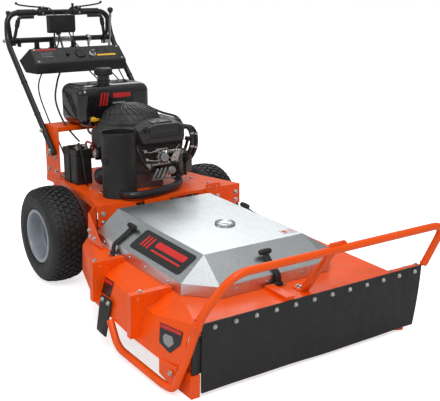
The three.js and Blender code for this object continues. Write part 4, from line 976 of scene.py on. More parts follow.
def oil_filter():
    fx, fy, fz = ENGINE_X - 112.4, ENGINE_Y - 20, 440
    oil = Shape().lathe([(0, 0), (34, 0), (36, 2), (36, 6), (34.4, 8), (34.4, 46), (35, 50), (33, 60),
                         (28, 67), (20, 70.5), (0, 72)], (fx, fy, fz), (-1, 0, 0), 48)
    for a in turns(18):
        oil.rod((fx - 50, fy + 34 * math.cos(a), fz + 34 * math.sin(a)),
                (fx - 62, fy + 31 * math.cos(a), fz + 31 * math.sin(a)), 1.6, 8)
    piece("oil_filter_can", oil, "black", replaces=("oil_filter",), crease=40)


def dipstick():
    tube = Shape()
    tube.hose([(150, 1150, 420), (172, 1140, 470), (196, 1128, 520), (206, 1120, 560)], 7, 16, 6)
    tube.lathe([(0, 0), (13, 0), (14, 3), (14, 12), (11, 16), (0, 17)], (206, 1120, 560), (0.15, -0.12, 1),
               20)
    piece("dipstick_tube", tube, "plastic", crease=45)


def starter_motor():
    x, y = ENGINE_X, ENGINE_Y
    starter = Shape()
    starter.lathe([(0, 0), (24, 0), (26, 3), (26, 78), (24, 82), (14, 84), (14, 90), (0, 90)],
                  (x - 60, y + 122, 466), (0, 0, 1), 32)
    starter.lathe([(0, 0), (13, 0), (14, 2), (14, 46), (12, 48), (0, 48)], (x - 98, y + 128, 480),
                  (0, 0, 1), 24)
    piece("starter_motor", starter, "black", crease=40)


def cylinder(word):
    node = f"cylinder_{word}"
    stretch = CYLINDER_STRETCH[word]
    turned = Matrix.Rotation(CYLINDER_ANGLES[word], 4, "Z")
    place = Matrix.Translation((ENGINE_X, ENGINE_Y, CYLINDER_Z)) @ turned
    block = Shape()
    block.rod((96, 0, 0), (176 + stretch, 0, 0), 40, 32)
    fin_count = 10
    start, end = 99, 168 + stretch
    for k in range(fin_count):
        f = start + (end - start) * k / (fin_count - 1)
        block.prism([(a, b) for a, b in rounded(-52, 52, -52, 52, 14, 4)], f, f + 2.6, "X")
    block.prism(rounded(-54, 54, -54, 54, 8), 172 + stretch, 188 + stretch, "X")
    for z in range(-48, 49, 12):
        block.box(188 + stretch, 206 + stretch, -50, 50, z - 1.4, z + 1.4)
    block.turn(place)
    piece(f"{node}_fins", block, "aluminium", replaces=(node,), bevel=0.5, crease=32)
    cover = Shape()
    cover.hull([(202 + stretch, a, b) for a in (-44, 44) for b in (-44, 44)]
               + [(228 + stretch, a, b) for a in (-37, 37) for b in (-37, 37)])
    cover.prism(rounded(-47, 47, -47, 47, 8), 200 + stretch, 205 + stretch, "X")
    cover.turn(place)
    piece(f"rocker_cover_{word}", cover, "aluminium", bevel=4.0, segments=4, crease=30)
    parts = Shape()
    for a in (-41, 41):
        for b in (-41, 41):
            parts.bolt((204.6 + stretch, a, b), (1, 0, 0), 8)
    parts.turn(place)
    piece(f"rocker_bolts_{word}", parts, "zinc", bevel=0.3)
    lead = Shape()
    plug = place @ Vector((196 + stretch, -56, 18))
    outward = (place.to_3x3() @ Vector((0.35, -1, 0.2))).normalized()
    lead.lathe([(0, -4), (7, -4), (8, 4), (8, 20), (6.5, 28), (5, 30), (0, 30)], plug, outward, 18)
    tip = plug + outward * 26
    lead.hose([tip, tip + outward * 20 + Vector((0, 0, 14)), tip + Vector((-30, 10, 60)),
               Vector((tip.x * 0.6, tip.y * 0.5 + 590, 566))], 3.4, 12, 6)
    piece(f"spark_lead_{word}", lead, "cable", crease=50)


def shroud_outline(inset, steps=10):
    """The blower housing's plan: a snail shape round the flywheel."""
    x, y = ENGINE_X, ENGINE_Y
    r = 158 - inset
    front = y - 118 + inset

    def curve(a, b, c):
        points = []
        for k in range(steps + 1):
            t = k / steps
            points.append(tuple(a[i] * (1 - t) ** 2 + 2 * b[i] * t * (1 - t) + c[i] * t * t for i in (0, 1)))
        return points

    line = [(x - r, y + 20)]
    line += curve((x - r, y - 20), (x - r + 18, y - 90 + inset), (x - 60, front))
    line += curve((x + 120 - inset, front), (x + 218 - inset, front), (x + 225 - inset, y - 10))
    line += curve((x + 225 - inset, y - 10), (x + 218 - inset, y + 100), (x + 110, y + 140 - inset))[1:]
    line += curve((x - 60, y + 150 - inset), (x - r, y + 130 - inset), (x - r, y + 20))[:-1]
    return line


def blower():
    x, y = ENGINE_X, ENGINE_Y
    housing = Shape()
    levels = ((566, 0.0), (612, 0.0), (620, 1.5), (625.5, 5.5), (628, 12))
    housing.skin([housing.ring([(a, b, z) for a, b in shroud_outline(inset)]) for z, inset in levels])
    piece("blower_shroud", housing, "engine", replaces=("blower_housing",), crease=30)

    collar = Shape()
    collar.lathe([(119, 616), (154, 617), (155.5, 621), (149, 629), (143, 636), (139, 645), (137, 651),
                  (134, 653), (122, 653), (119.5, 648)], (x, y, 0), sides=96, closed=True)
    for a in turns(24, 0.1):
        u, v = math.cos(a), math.sin(a)
        collar.hull([(x + u * r - v * w, y + v * r + u * w, z)
                     for r, z in ((139, 627), (154.5, 620), (137.5, 645)) for w in (-1.6, 1.6)])
    piece("blower_collar", collar, "engine", crease=35)
    # A near-black ring just under the grille's rim: painted shade in the gap between the collar and the
    # grille.
    band = Shape().lathe([(118, 640), (126, 640), (126.5, 660), (118, 660)], (x, y, 0), sides=96, closed=True)
    piece("blower_rim_shade_band", band, "painted_shade", body="chassis", crease=35)
    corners = [(95, -106, 668), (170, -104, 668), (190, 70, 664), (100, 104, 660), (90, -117, 626),
               (190, -110, 640), (215, -84, 620), (219, 30, 620), (190, 90, 622), (100, 132, 620)]
    shoulder = Shape().hull([(x + a, y + b, z) for a, b, z in corners])
    piece("blower_shoulder", shoulder, "engine", bevel=7, segments=5, crease=16)

    bolts = Shape()
    for px, py in ((-140, 10), (-100, -88), (90, -104), (196, -20), (170, 76), (60, 132), (-80, 128)):
        bolts.bolt((x + px * 0.985, y + py * 0.96, 627.6), (0, 0, 1), 10)
    piece("shroud_bolts", bolts, "zinc", bevel=0.3)


BLADE_LEAN = 2.1
DOME = ((127.0, 0.0), (127.0, 16), (124, 26), (120, 35), (108, 51), (84, 68), (50, 79), (30, 82))


def dome_height(radius):
    """Height of the grille's crown above its rim, at a distance from the middle."""
    for (r0, h0), (r1, h1) in zip(DOME, DOME[1:]):
        if r1 <= radius <= r0:
            return h0 + (h1 - h0) * (r0 - radius) / (r0 - r1)
    return DOME[-1][1]


def blower_grille():
    x, y, z = ENGINE_X, ENGINE_Y, SHROUD_TOP
    inner = Shape().lathe([(124, z), (124, z + 15), (118, z + 32), (106, z + 47), (83, z + 63.5),
                           (50, z + 75), (0, z + 80)], (x, y, 0), sides=72)
    piece("grille_backing", inner, "engine", replaces=("blower_dome",), crease=40)
    grille = Shape()
    grille.lathe([(128, z + 1), (128, z + 17), (126, z + 20), (122, z + 18), (121, z + 1)], (x, y, 0),
                 sides=96, closed=True)
    grille.lathe([(0, z + 84), (20, z + 84), (29, z + 83), (33, z + 80.5), (33, z + 76), (0, z + 76)],
                 (x, y, 0), sides=64)
    blades = 24
    steps = 14
    for k in range(blades):
        start = 2 * math.pi * k / blades
        outline = []
        for i in range(steps + 1):
            t = i / steps
            radius = 30 + (126 - 30) * t
            angle = start + 0.75 * t ** 1.15
            top = z + dome_height(radius)
            width = 2.0 + 3.4 * t
            u, v = math.cos(angle), math.sin(angle)
            section = ((-width, 0), (width, 0), (width - BLADE_LEAN, -6), (-width - BLADE_LEAN, -6))
            outline.append(grille.ring([(x + u * radius - v * w, y + v * radius + u * w, top + h)
                                        for w, h in section]))
        grille.skin(outline)
    for radius in (66, 104):
        top = z + dome_height(radius)
        grille.lathe([(radius - 1.8, top - 7), (radius + 1.8, top - 7.6), (radius + 1.8, top - 1.4),
                      (radius - 1.8, top - 0.8)], (x, y, 0), sides=72, closed=True)
    piece("blower_grille_fins", grille, "engine", crease=40)


FILTER_SLOPE = math.atan2(15, 72)


def air_filter():
    cover = Shape().hull([(-44, 1078, 678), (100, 1078, 678), (-18, 1006, 663), (89, 1006, 662),
                          (-94, 1060, 656), (-92, 1034, 642), (-92, 1060, 585), (-72, 1016, 585),
                          (-56, 1010, 589), (120, 1012, 585), (122, 1018, 644), (150, 1078, 646),
                          (158, 1078, 585)])
    piece("air_filter_shell", cover, "engine", replaces=("air_filter_cover",), bevel=6, segments=5, crease=14)

    on_slope = Matrix.Translation((0, 1026, 668.2)) @ Matrix.Rotation(FILTER_SLOPE, 4, "X")
    window = Shape().prism(rounded(-22, 68, 3, 44, 7), -1.5, 1.0)
    window.turn(on_slope)
    piece("air_filter_window", window, "amber", bevel=0.6)
    rim = Shape().prism(rounded(-28, 74, -2, 48, 9), -2, 2.2, holes=[rounded(-21, 67, 4, 43, 7)])
    rim.turn(on_slope)
    piece("air_filter_rim", rim, "engine", bevel=0.8)

    ribs = Shape()
    for k in range(7):
        a, b = 121 + 5.2 * k, 1016 + 9 * k
        ribs.hull([(a + w, b + d, z) for w, d in ((-3, -2), (2.4, -2), (3.6, 1.6), (-2, 1.6))
                   for z in (598, 640)])
    ribs.prism(rounded(-60, 116, 606, 609, 1.2), 1006.5, 1014, "Y")
    ribs.prism(rounded(-46, 104, 616, 654, 7), 1004.6, 1012, "Y", holes=[rounded(-40, 98, 621, 649, 5)])
    piece("air_filter_ribs", ribs, "engine", bevel=0.6)

    # A near-black block under the filter shell, above the carburettor: painted shade filling the space behind
    # the castings.
    shade_block = Shape()
    shade_block.hull([(-84, 1040, 545), (120, 1034, 545), (-84, 1040, 588), (126, 1034, 588), (-80, 1070, 545),
                 (150, 1072, 545), (-84, 1070, 588), (154, 1072, 588)])
    piece("air_filter_shade_block", shade_block, "painted_shade", bevel=4)

    knob = Shape()
    kx, ky, kz = -66, 1009, 652
    knob.lathe([(0, 0), (12, 0), (12, 3), (10, 5), (10, 9), (8, 11), (0, 11)], (kx, ky, kz), (0, -1, 0), 24)
    knob.hull([(kx + sx * w, ky - d, kz + sz * h) for sx in (-1, 1) for sz in (-1, 1)
               for w, d, h in ((14, 4, 3.6), (14, 11, 2.8), (8, 13, 2.4))])
    piece("air_filter_knob_wing", knob, "plastic", body="air_filter_knob", replaces=("air_filter_knob",),
          bevel=0.8)


def carburettor():
    """The castings seen between the two cylinders."""
    cast = Shape()
    cast.lathe([(0, 0), (22, 0), (24, 3), (24, 26), (19, 30), (19, 48), (0, 48)], (20, 1050, 520),
               (0, -1, 0.1), 32)
    cast.box(-24, 66, 1036, 1062, 486, 494)
    cast.box(-10, 46, 1024, 1058, 552, 560)
    cast.lathe([(0, 0), (15, 0), (16, 2), (16, 22), (12, 30), (0, 31)], (-44, 1040, 500), (0, 0, -1), 28)
    cast.lathe([(0, 0), (11, 0), (12, 3), (12, 34), (0, 36)], (92, 1036, 492), (0, 0, 1), 24)
    cast.box(60, 112, 1040, 1052, 530, 540)
    for a, b in ((-2, 500), (44, 500), (-2, 546), (44, 546)):
        cast.lathe([(0, 0), (5.5, 0), (5.5, 8), (0, 8)], (a, 1022, b), (0, -1, 0), 6)
    for a in range(4):
        left = -34 + 20 * a
        cast.hull([(left + w, y, z + h) for w in (-3, 3) for y in (1010, 1020)
                   for z, h in ((434, 0), (434, 6))] + [(left + 26 + w, y, 478) for w in (-3, 3)
                                                        for y in (1012, 1022)])
    cast.lathe([(0, 0), (17, 0), (18, 2), (18, 12), (13, 15), (0, 15)], (58, 1022, 462), (0, -1, 0.05), 28)
    cast.box(-40, 78, 1014, 1022, 428, 434)
    piece("carburettor_castings", cast, "bright_aluminium", bevel=1.4, segments=3)


def governor_linkage():
    links = Shape()
    links.hose([(-70, 1030, 560), (-40, 1018, 548), (20, 1012, 560), (70, 1020, 544), (108, 1030, 566)],
               2.2, 10, 6)
    links.hose([(-60, 1028, 520), (-20, 1010, 512), (40, 1008, 520), (96, 1022, 508)], 2.0, 10, 6)
    links.prism([(60, 500), (92, 506), (104, 540), (96, 552), (70, 532), (56, 512)], 1016, 1018.5, "Y",
                holes=[circle(80, 520, 4, 14)])
    for a, b in ((80, 520), (98, 544), (-66, 556), (-58, 520)):
        links.bolt((a, 1016, b), (0, -1, 0), 8)
    piece("governor_linkage", links, "zinc", bevel=0.3)


def breather_hoses():
    hoses = Shape()
    hoses.hose([(128, 1050, 640), (150, 1030, 636), (164, 1022, 606), (166, 1024, 560), (158, 1040, 520),
                (138, 1056, 500)], 9.5, 20)
    hoses.hose([(148, 1066, 632), (176, 1044, 630), (192, 1034, 600), (194, 1036, 552), (186, 1052, 508),
                (170, 1070, 480)], 9.5, 20)
    hoses.hose([(-90, 1042, 580), (-98, 1020, 560), (-84, 1012, 520), (-60, 1022, 486), (-30, 1040, 470)],
               6, 16)
    piece("breather_hoses", hoses, "cable", crease=60)
    clips = Shape()
    for place, axis in (((163.6, 1022, 610), (0.1, 0.05, -1)), ((166, 1025, 553), (-0.1, 0.1, -1)),
                        ((191.6, 1034, 604), (0.1, 0, -1)), ((193.6, 1037, 546), (-0.1, 0.1, -1))):
        clips.band(9.6, 11.2, 4, place, axis, 24)
    piece("hose_clips", clips, "zinc")


SHIELD_X, SHIELD_Y = -183, 1027


def exhaust():
    x, y = SHIELD_X, SHIELD_Y
    shield = Shape()
    r = 71
    shield.lathe([(r, 386.6), (r, 392), (r - 1.2, 394), (r - 1.2, 640), (r + 0.6, 643), (r + 0.8, 648),
                  (r - 1, 650.4), (r - 3.6, 649), (r - 3.6, 388)], (x, y, 0), sides=96, closed=True)
    outward = Vector((-0.984, -0.180, 0))
    port = Vector((x, y, 536)) + outward * (r + 0.2)
    shield.lathe([(12, -3), (14.4, -3), (14.8, 0.5), (14, 1.8), (12, 1.8)], port, outward, 32, closed=True)
    shield.box(x - 3, x + 3, y + 69.5, y + 74, 395, 640)
    piece("heat_shield_can", shield, "shield", replaces=("muffler_heat_shield",), crease=40)
    # A near-black disc filling the port ring: painted shade in the opening.
    hole = Shape().lathe([(0, -2), (12.4, -2), (12.4, 0.9), (0, 0.9)], port, outward, 24)
    piece("heat_shield_port_shade", hole, "painted_shade")
    can = Shape().lathe([(0, 434), (38, 434), (51, 441), (55, 449), (55, 478), (56.4, 480), (56.4, 484),
                         (55, 486), (55, 606), (52, 616), (44, 622), (22, 624), (20, 626), (20, 631),
                         (17, 632), (0, 632)], (x, y, 0), sides=64)
    piece("muffler_can", can, "iron", replaces=("muffler",), crease=40)
    line = [(94, 1040, 438), (90, 1004, 412), (30, 952, 407), (-80, 914, 407), (-160, 904, 408),
            (-203, 920, 409), (-204, 964, 411)]
    pipe = Shape().tube(bent_line(line, 40), 16, 28)
    pipe.band(16, 24, 4, (94, 1036, 435), (0.08, 0.8, 0.6), 32)
    piece("exhaust_pipe_bent", pipe, "black", replaces=("exhaust_pipe",), crease=50)


# ------------------------------------------------------------------ fuel and electrics

TANK = {"x0": -182, "x1": 168, "front": 1364, "rear": 1586, "low": 619.4, "top": 797}
FILLER_X, FILLER_Y = -36, 1428


def fuel_tank():
    t = TANK
    body = Shape().box(t["x0"], t["x1"], t["front"], t["rear"], t["low"], t["top"])
    piece("fuel_tank_body", body, "tank", replaces=("fuel_tank",), bevel=40, segments=12, crease=30)
    neck = Shape().lathe([(27, 782), (27, 806), (29.5, 807), (29.5, 810), (27, 811), (29.5, 813),
                          (29.5, 816), (27, 817), (27, 834), (24, 835), (0, 835)], (FILLER_X, FILLER_Y, 0),
                         sides=48)
    neck.lathe([(0, 790), (40, 790), (40, 796), (36, 799), (27, 800), (0, 800)], (FILLER_X, FILLER_Y, 0),
               sides=48)
    piece("fuel_filler_neck", neck, "tank", crease=40)


def fuel_cap():
    cap = Shape()
    z = 835.4
    cap.lathe([(0, z), (37, z), (38.5, z + 2), (38.5, z + 24), (36, z + 29), (30, z + 31.6), (12, z + 32),
               (0, z + 31)], (FILLER_X, FILLER_Y, 0), sides=72)
    for a in turns(30):
        cap.rod((FILLER_X + 38.6 * math.cos(a), FILLER_Y + 38.6 * math.sin(a), z + 3),
                (FILLER_X + 38.2 * math.cos(a), FILLER_Y + 38.2 * math.sin(a), z + 25), 2.1, 8)
    piece("fuel_cap_ribbed", cap, "plastic", body="fuel_tank_cap", replaces=("fuel_tank_cap",), crease=45)


def tank_decal():
    """A generic decal: three slanted stripes, a bar and a line."""
    face = TANK["front"]
    panel = Shape().prism(rounded(-104, 76, 695, 778, 8), face - 1.0, face + 4, "Y")
    piece("tank_decal", panel, "label", bevel=0.3)
    marks = Shape()
    for k in range(3):
        marks.prism([(-94 + 15 * k, 708), (-86 + 15 * k, 708), (-74 + 15 * k, 764), (-82 + 15 * k, 764)],
                    face - 1.5, face - 0.8, "Y")
    piece("tank_decal_stripes", marks, "label_red")
    bar = Shape().prism(rounded(-24, 62, 740, 760, 3), face - 1.5, face - 0.8, "Y")
    piece("tank_decal_bar", bar, "label_red")
    line = Shape().prism(rounded(-28, 34, 714, 721, 2), face - 1.5, face - 0.8, "Y")
    piece("tank_decal_line", line, "label_grey")


def fuel_tap():
    tap = Shape()
    x, y, z = -128, TANK["front"] - 0.4, 653
    tap.lathe([(0, 0), (10.8, 0), (11, 2), (11, 14), (9, 16), (0, 16)], (x, y, z), (0, -1, 0), 24)
    tap.hull([(x + sx * w, y - d, z + sz * h) for sx in (-1, 1) for sz in (-1, 1)
              for w, d, h in ((8, 15, 6.8), (19.8, 17, 5), (19.8, 25, 4), (8, 25.4, 6))])
    piece("fuel_tap_handle", tap, "yellow", body="fuel_tap", replaces=("fuel_tap",), bevel=1.2, segments=3)


def fuel_hoses():
    hoses = Shape()
    hoses.hose([(-128, 1362, 653), (-150, 1352, 636), (-168, 1330, 612), (-160, 1300, 596),
                (-140, 1280, 585), (-120, 1262, 560)], 5)
    hoses.hose([(120, 1360, 648), (150, 1330, 640), (196, 1290, 628), (212, 1240, 640), (190, 1170, 650),
                (150, 1120, 640)], 5)
    hoses.hose([(66, 1362, 690), (84, 1346, 700), (128, 1320, 690), (170, 1270, 668), (196, 1190, 655),
                (176, 1110, 628), (150, 1080, 610)], 5.5)
    piece("fuel_hoses", hoses, "cable", crease=60)
    clamps = Shape()
    for place, axis in (((-130, 1361, 652), (-0.8, -0.4, -0.6)), ((122, 1357, 647.5), (0.8, -0.6, -0.1)),
                        ((68, 1360, 691), (0.7, -0.6, 0.4))):
        clamps.band(5, 6.4, 3.5, place, axis, 20)
    piece("hose_clamps", clamps, "zinc")


BATTERY_FOOT = PLATE_TOP + 0.4


def battery():
    low = BATTERY_FOOT
    case = Shape()
    case.prism(rounded(-250, -176, 1292, 1424, 5), low, low + 126)
    for k in range(8):
        case.box(-250.9, -175.1, 1302 + 15 * k, 1308 + 15 * k, low + 12, low + 112)
    piece("battery_case", case, "plastic", replaces=("battery",), bevel=1.5, segments=3)
    lid = Shape()
    lid.prism(rounded(-252, -174, 1290, 1426, 6), low + 127, low + 152)
    lid.prism(rounded(-240, -186, 1330, 1400, 4), low + 151, low + 159)
    piece("battery_lid", lid, "plastic", bevel=2.0, segments=3)
    posts = Shape()
    for x in (-232, -194):
        posts.lathe([(0, 0), (8, 0), (7, 20), (0, 20)], (x, 1310, low + 151), sides=24)
        posts.box(x - 9, x + 9, 1304, 1322, low + 158, low + 163)
        posts.bolt((x, 1310, low + 163), (0, 0, 1), 8)
    piece("battery_terminals", posts, "zinc", bevel=0.4)
    strap = Shape()
    strap.prism([(1352, low), (1372, low), (1372, low + 162), (1352, low + 162)], -254, -252.4, "X")
    strap.prism([(1352, low), (1372, low), (1372, low + 162), (1352, low + 162)], -173.6, -172, "X")
    strap.box(-254, -172, 1352, 1372, low + 160, low + 162)
    piece("battery_strap", strap, "rubber", bevel=0.5)


def battery_wiring():
    low = BATTERY_FOOT
    red = Shape().hose([(-194, 1312, low + 166), (-194, 1290, low + 186), (-176, 1270, low + 170),
                        (-172, 1290, 530), (-158, 1300, 545)], 4.5)
    piece("battery_cable_red", red, "red", crease=60)
    black = Shape()
    black.hose([(-232, 1312, low + 166), (-236, 1282, low + 180), (-232, 1262, low + 120),
                (-226, 1258, low + 40), (-216, 1262, low + 2)], 4.5)
    black.hose([(-150, 1300, 548), (-130, 1310, 560), (-98, 1324, 540), (-92, 1326, 520)], 4)
    piece("battery_cables_black", black, "cable", crease=60)
    relay = Shape()
    relay.lathe([(0, 0), (21, 0), (22, 2), (22, 40), (20, 44), (0, 44)], (-152, 1300, 500), (0, 0, 1), 32)
    relay.box(-170, -134, 1316, 1322, 490, 550)
    relay.box(-158, -146, 1318, 1364, 494, 500)
    piece("starter_relay", relay, "zinc", bevel=0.8)


# ------------------------------------------------------------------ handlebar and controls

BAR_RADIUS = 13
ARM_X = 275
ARM_LOW = (1464, 500)
ARM_ELBOW = (1941, 968)
TOP_BAR_Y, TOP_BAR_Z = 1954, 1098
CROSS_Y, CROSS_Z = 1943, 969
PANEL_TILT = math.atan2(939 - 874, 1780 - 1709)


def on_arm(side, reach, t):
    """A point beside a handlebar arm's straight run, from its foot at 0 to its elbow at 1."""
    y, z = (low + (high - low) * t for low, high in zip(ARM_LOW, ARM_ELBOW))
    return side * reach, y, z


def handlebar():
    right = [(-ARM_X, *ARM_LOW), (-ARM_X, *ARM_ELBOW), (-262, TOP_BAR_Y, TOP_BAR_Z)]
    line = right + [(-x, y, z) for x, y, z in reversed(right)]
    bar = Shape().tube(bent_line(line, 58, 12), BAR_RADIUS, 28)
    bar.prism(rounded(1957, 1994, 978, 1002, 5), -262, -258, "X")
    bar.box(-271, -260, 1948, 1960, 984, 1000)
    piece("handlebar_tube", bar, "black", replaces=("handlebar",), crease=45)
    grips = Shape()
    for side in (-1, 1):
        grips.lathe([(13.2, -44), (15, -44), (15.6, -42), (15.6, 42), (15, 44), (13.2, 44)],
                    (side * 168, TOP_BAR_Y, TOP_BAR_Z), (1, 0, 0), 32, closed=True)
        for k in range(11):
            grips.lathe([(15.4, -1.2), (16.1, 0), (15.4, 1.2)],
                        (side * 168 + (k - 5) * 7.6, TOP_BAR_Y, TOP_BAR_Z), (1, 0, 0), 32)
    piece("handlebar_grips", grips, "rubber", crease=45)
    bolts = Shape()
    for side in (-1, 1):
        for t in (0.03, 0.2):
            bolts.bolt(on_arm(side, ARM_X + BAR_RADIUS - 0.5, t), (side, 0, 0), 13)
        bolts.bolt((side * (ARM_X + BAR_RADIUS - 0.5), CROSS_Y, CROSS_Z), (side, 0, 0), 12)
    piece("handlebar_bolts", bolts, "zinc", bevel=0.3)


def crossbar():
    reach = ARM_X - BAR_RADIUS + 2
    bar = Shape().rod((-reach, CROSS_Y, CROSS_Z), (reach, CROSS_Y, CROSS_Z), BAR_RADIUS, 28)
    for side in (-1, 1):
        bar.prism(rounded(1908, 1945, 940, 978, 8), side * 222 - 3, side * 222 + 3, "X",
                  holes=[circle(1916, 950, 4.4, 16)])
        bar.rod((side * 251, CROSS_Y + 2, CROSS_Z), (side * 258, TOP_BAR_Y - 3, TOP_BAR_Z - 34), 6.5, 18)
        bar.box(side * 246 - 12, side * 246 + 12, CROSS_Y - 5, CROSS_Y + 5, CROSS_Z - 24, CROSS_Z - 8)
    for x in (-128, -50, 64):
        bar.prism(rounded(x - 11, x + 11, 930, CROSS_Z, 4), 1934, 1946, "Y")
        bar.box(x - 15, x + 15, 1930, 1950, 926, 932)
    piece("crossbar_tube", bar, "black", replaces=("crossbar",), bevel=0.5, crease=45)
    ring = Shape()
    ring.lathe([(13, -8), (17.5, -8), (18, -7), (18, 7), (17.5, 8), (13, 8)], (148, CROSS_Y, CROSS_Z),
               (1, 0, 0), 28, closed=True)
    ring.band(13, 14.6, 43, (8, CROSS_Y, CROSS_Z), (1, 0, 0), 28)
    ring.hull([(148 + a, CROSS_Y + b, CROSS_Z + c) for a in (-4, 4)
               for b, c in ((-8, -16), (8, -16), (-5, -36), (5, -36))])
    ring.rod((146, CROSS_Y - 2, CROSS_Z - 32), (118, 1852, 872), 4.5, 14)
    piece("crossbar_clamp", ring, "zinc", bevel=0.4, crease=45)


def grip_levers():
    for word, side in SIDES:
        foot = Vector((side * 236.5, 1942, 982))
        bend = Vector((side * 216, 1926, 1078))
        lever = Shape().tube(bent_line([foot, bend, (side * 142, 1926, 1078)], 16, 10), 8, 24)
        lever.band(13.4, 18, 6.5, (side * 236.5, CROSS_Y, CROSS_Z), (1, 0, 0), 28)
        piece(f"grip_lever_{word}_rod", lever, "black", body=f"grip_lever_{word}",
              replaces=(f"grip_lever_{word}",), bevel=0.4, crease=45)
        sleeve = Shape().rod(foot.lerp(bend, 0.52), foot.lerp(bend, 0.86), 11, 24)
        piece(f"grip_lever_{word}_sleeve", sleeve, "rubber", body=f"grip_lever_{word}", bevel=1.2)


def console():
    dress("control_console", "black", 1.6, 3)
    normal = Vector((0, -math.sin(PANEL_TILT), math.cos(PANEL_TILT)))
    along = Vector((0, math.cos(PANEL_TILT), math.sin(PANEL_TILT)))
    middle = Vector((0, 1744.5, 906.5))

    def on_panel(x, up, lift):
        return Vector((x, 0, 0)) + middle + along * up + normal * lift

    def panel_plate(shape, x0, x1, u0, u1, low, high, radius):
        shape.plate(rounded(x0, x1, u0, u1, radius, 4), on_panel, low, high)

    panel = Shape()
    panel_plate(panel, -222, 222, -43, 43, 0.2, 0.9, 10)
    piece("console_panel", panel, "label")
    for name, finish, x0, x1, up in (("console_label_red", "red", -212, -106, 31),
                                     ("console_label_yellow", "yellow", 90, 188, -17)):
        bar = Shape()
        panel_plate(bar, x0, x1, up, up + 10, 0.9, 1.4, 1)
        piece(name, bar, finish)
    grey = Shape()
    for k in range(3):
        panel_plate(grey, -190, -130 - 9 * (k % 2), -8 + 12 * k, -6 + 12 * k, 0.9, 1.3, 0.6)
    piece("console_label_lines", grey, "label_grey")

    fittings = Shape()
    for x in (-214, 214):
        for up in (-37, 37):
            fittings.bolt(on_panel(x, up, 0), normal, 7)
    fittings.lathe([(10.4, 0), (17, 0), (17.5, 1), (16, 3), (10.4, 3)], on_panel(70, 0, 0), normal, 32,
                   closed=True)
    piece("console_screws", fittings, "zinc", bevel=0.3)
    meter = Shape()
    meter.lathe([(0, 0), (25, 0), (26, 2), (26, 6), (23, 8), (20, 6.5), (0, 6.5)], on_panel(10, 4, 0),
                normal, 40)
    meter.lathe([(0, 0), (9, 0), (9, 9), (7, 11), (0, 11)], on_panel(-56, 4, 0), normal, 24)
    piece("console_gauge", meter, "plastic", crease=40)
    face = Shape().lathe([(0, 6.6), (19.5, 6.6), (19.5, 7.0), (0, 7.0)], on_panel(10, 4, 0), normal, 32)
    piece("console_gauge_face", face, "tank")

    key = Shape()
    key.lathe([(0, -14), (9.4, -14), (9.4, 1), (12.6, 1), (12.8, 4), (11, 5.4), (0, 5.4)], (0, 0, 0),
              (0, 0, 1), 32)
    key.prism(rounded(-11, 11, 6, 25, 6), -1.6, 1.6, "Y", holes=[circle(0, 19, 3, 14)])
    key.box(-3.5, 3.5, -1.2, 1.2, 4, 8)
    key.turn(Matrix.Translation((70, 1745, 907)) @ Matrix.Rotation(PANEL_TILT, 4, "X"))
    piece("ignition_key_bow", key, "steel", body="ignition_key", replaces=("ignition_key",), bevel=0.4)


def control_box():
    box = Shape()
    outline = [(1856, 1016), (1866, 1002), (1899, 1002), (1899, 1086), (1856, 1086)]
    box.prism(outline, -91, 43, "X")
    piece("control_box_case", box, "plastic", replaces=("control_box",), bevel=5, segments=4)
    trim = Shape()
    trim.prism(rounded(-85, 37, 1022, 1080, 6), 1854.4, 1857, "Y")
    for k in range(5):
        trim.box(-70, 23, 1853.4, 1855, 1028 + 5 * k, 1030 + 5 * k)
    for x in (-78, 30):
        for z in (1026, 1076):
            trim.lathe([(0, 0), (4, 0), (3.6, 1.8), (0, 2)], (x, 1854.6, z), (0, -1, 0), 12)
    trim.rod((-40, 1880, 1004), (-28, 1838, 894), 5, 18)
    trim.lathe([(5, -7), (11, -7), (12, -5), (12, 5), (11, 7), (5, 7)], (-39.5, 1878.5, 1000),
               (0.1, -0.36, -0.93), 24, closed=True)
    piece("control_box_trim", trim, "black", bevel=0.8)
    lens = Shape().prism(rounded(-66, -12, 1054, 1074, 3), 1853.4, 1855.4, "Y")
    piece("control_box_lens", lens, "tank", bevel=0.4)


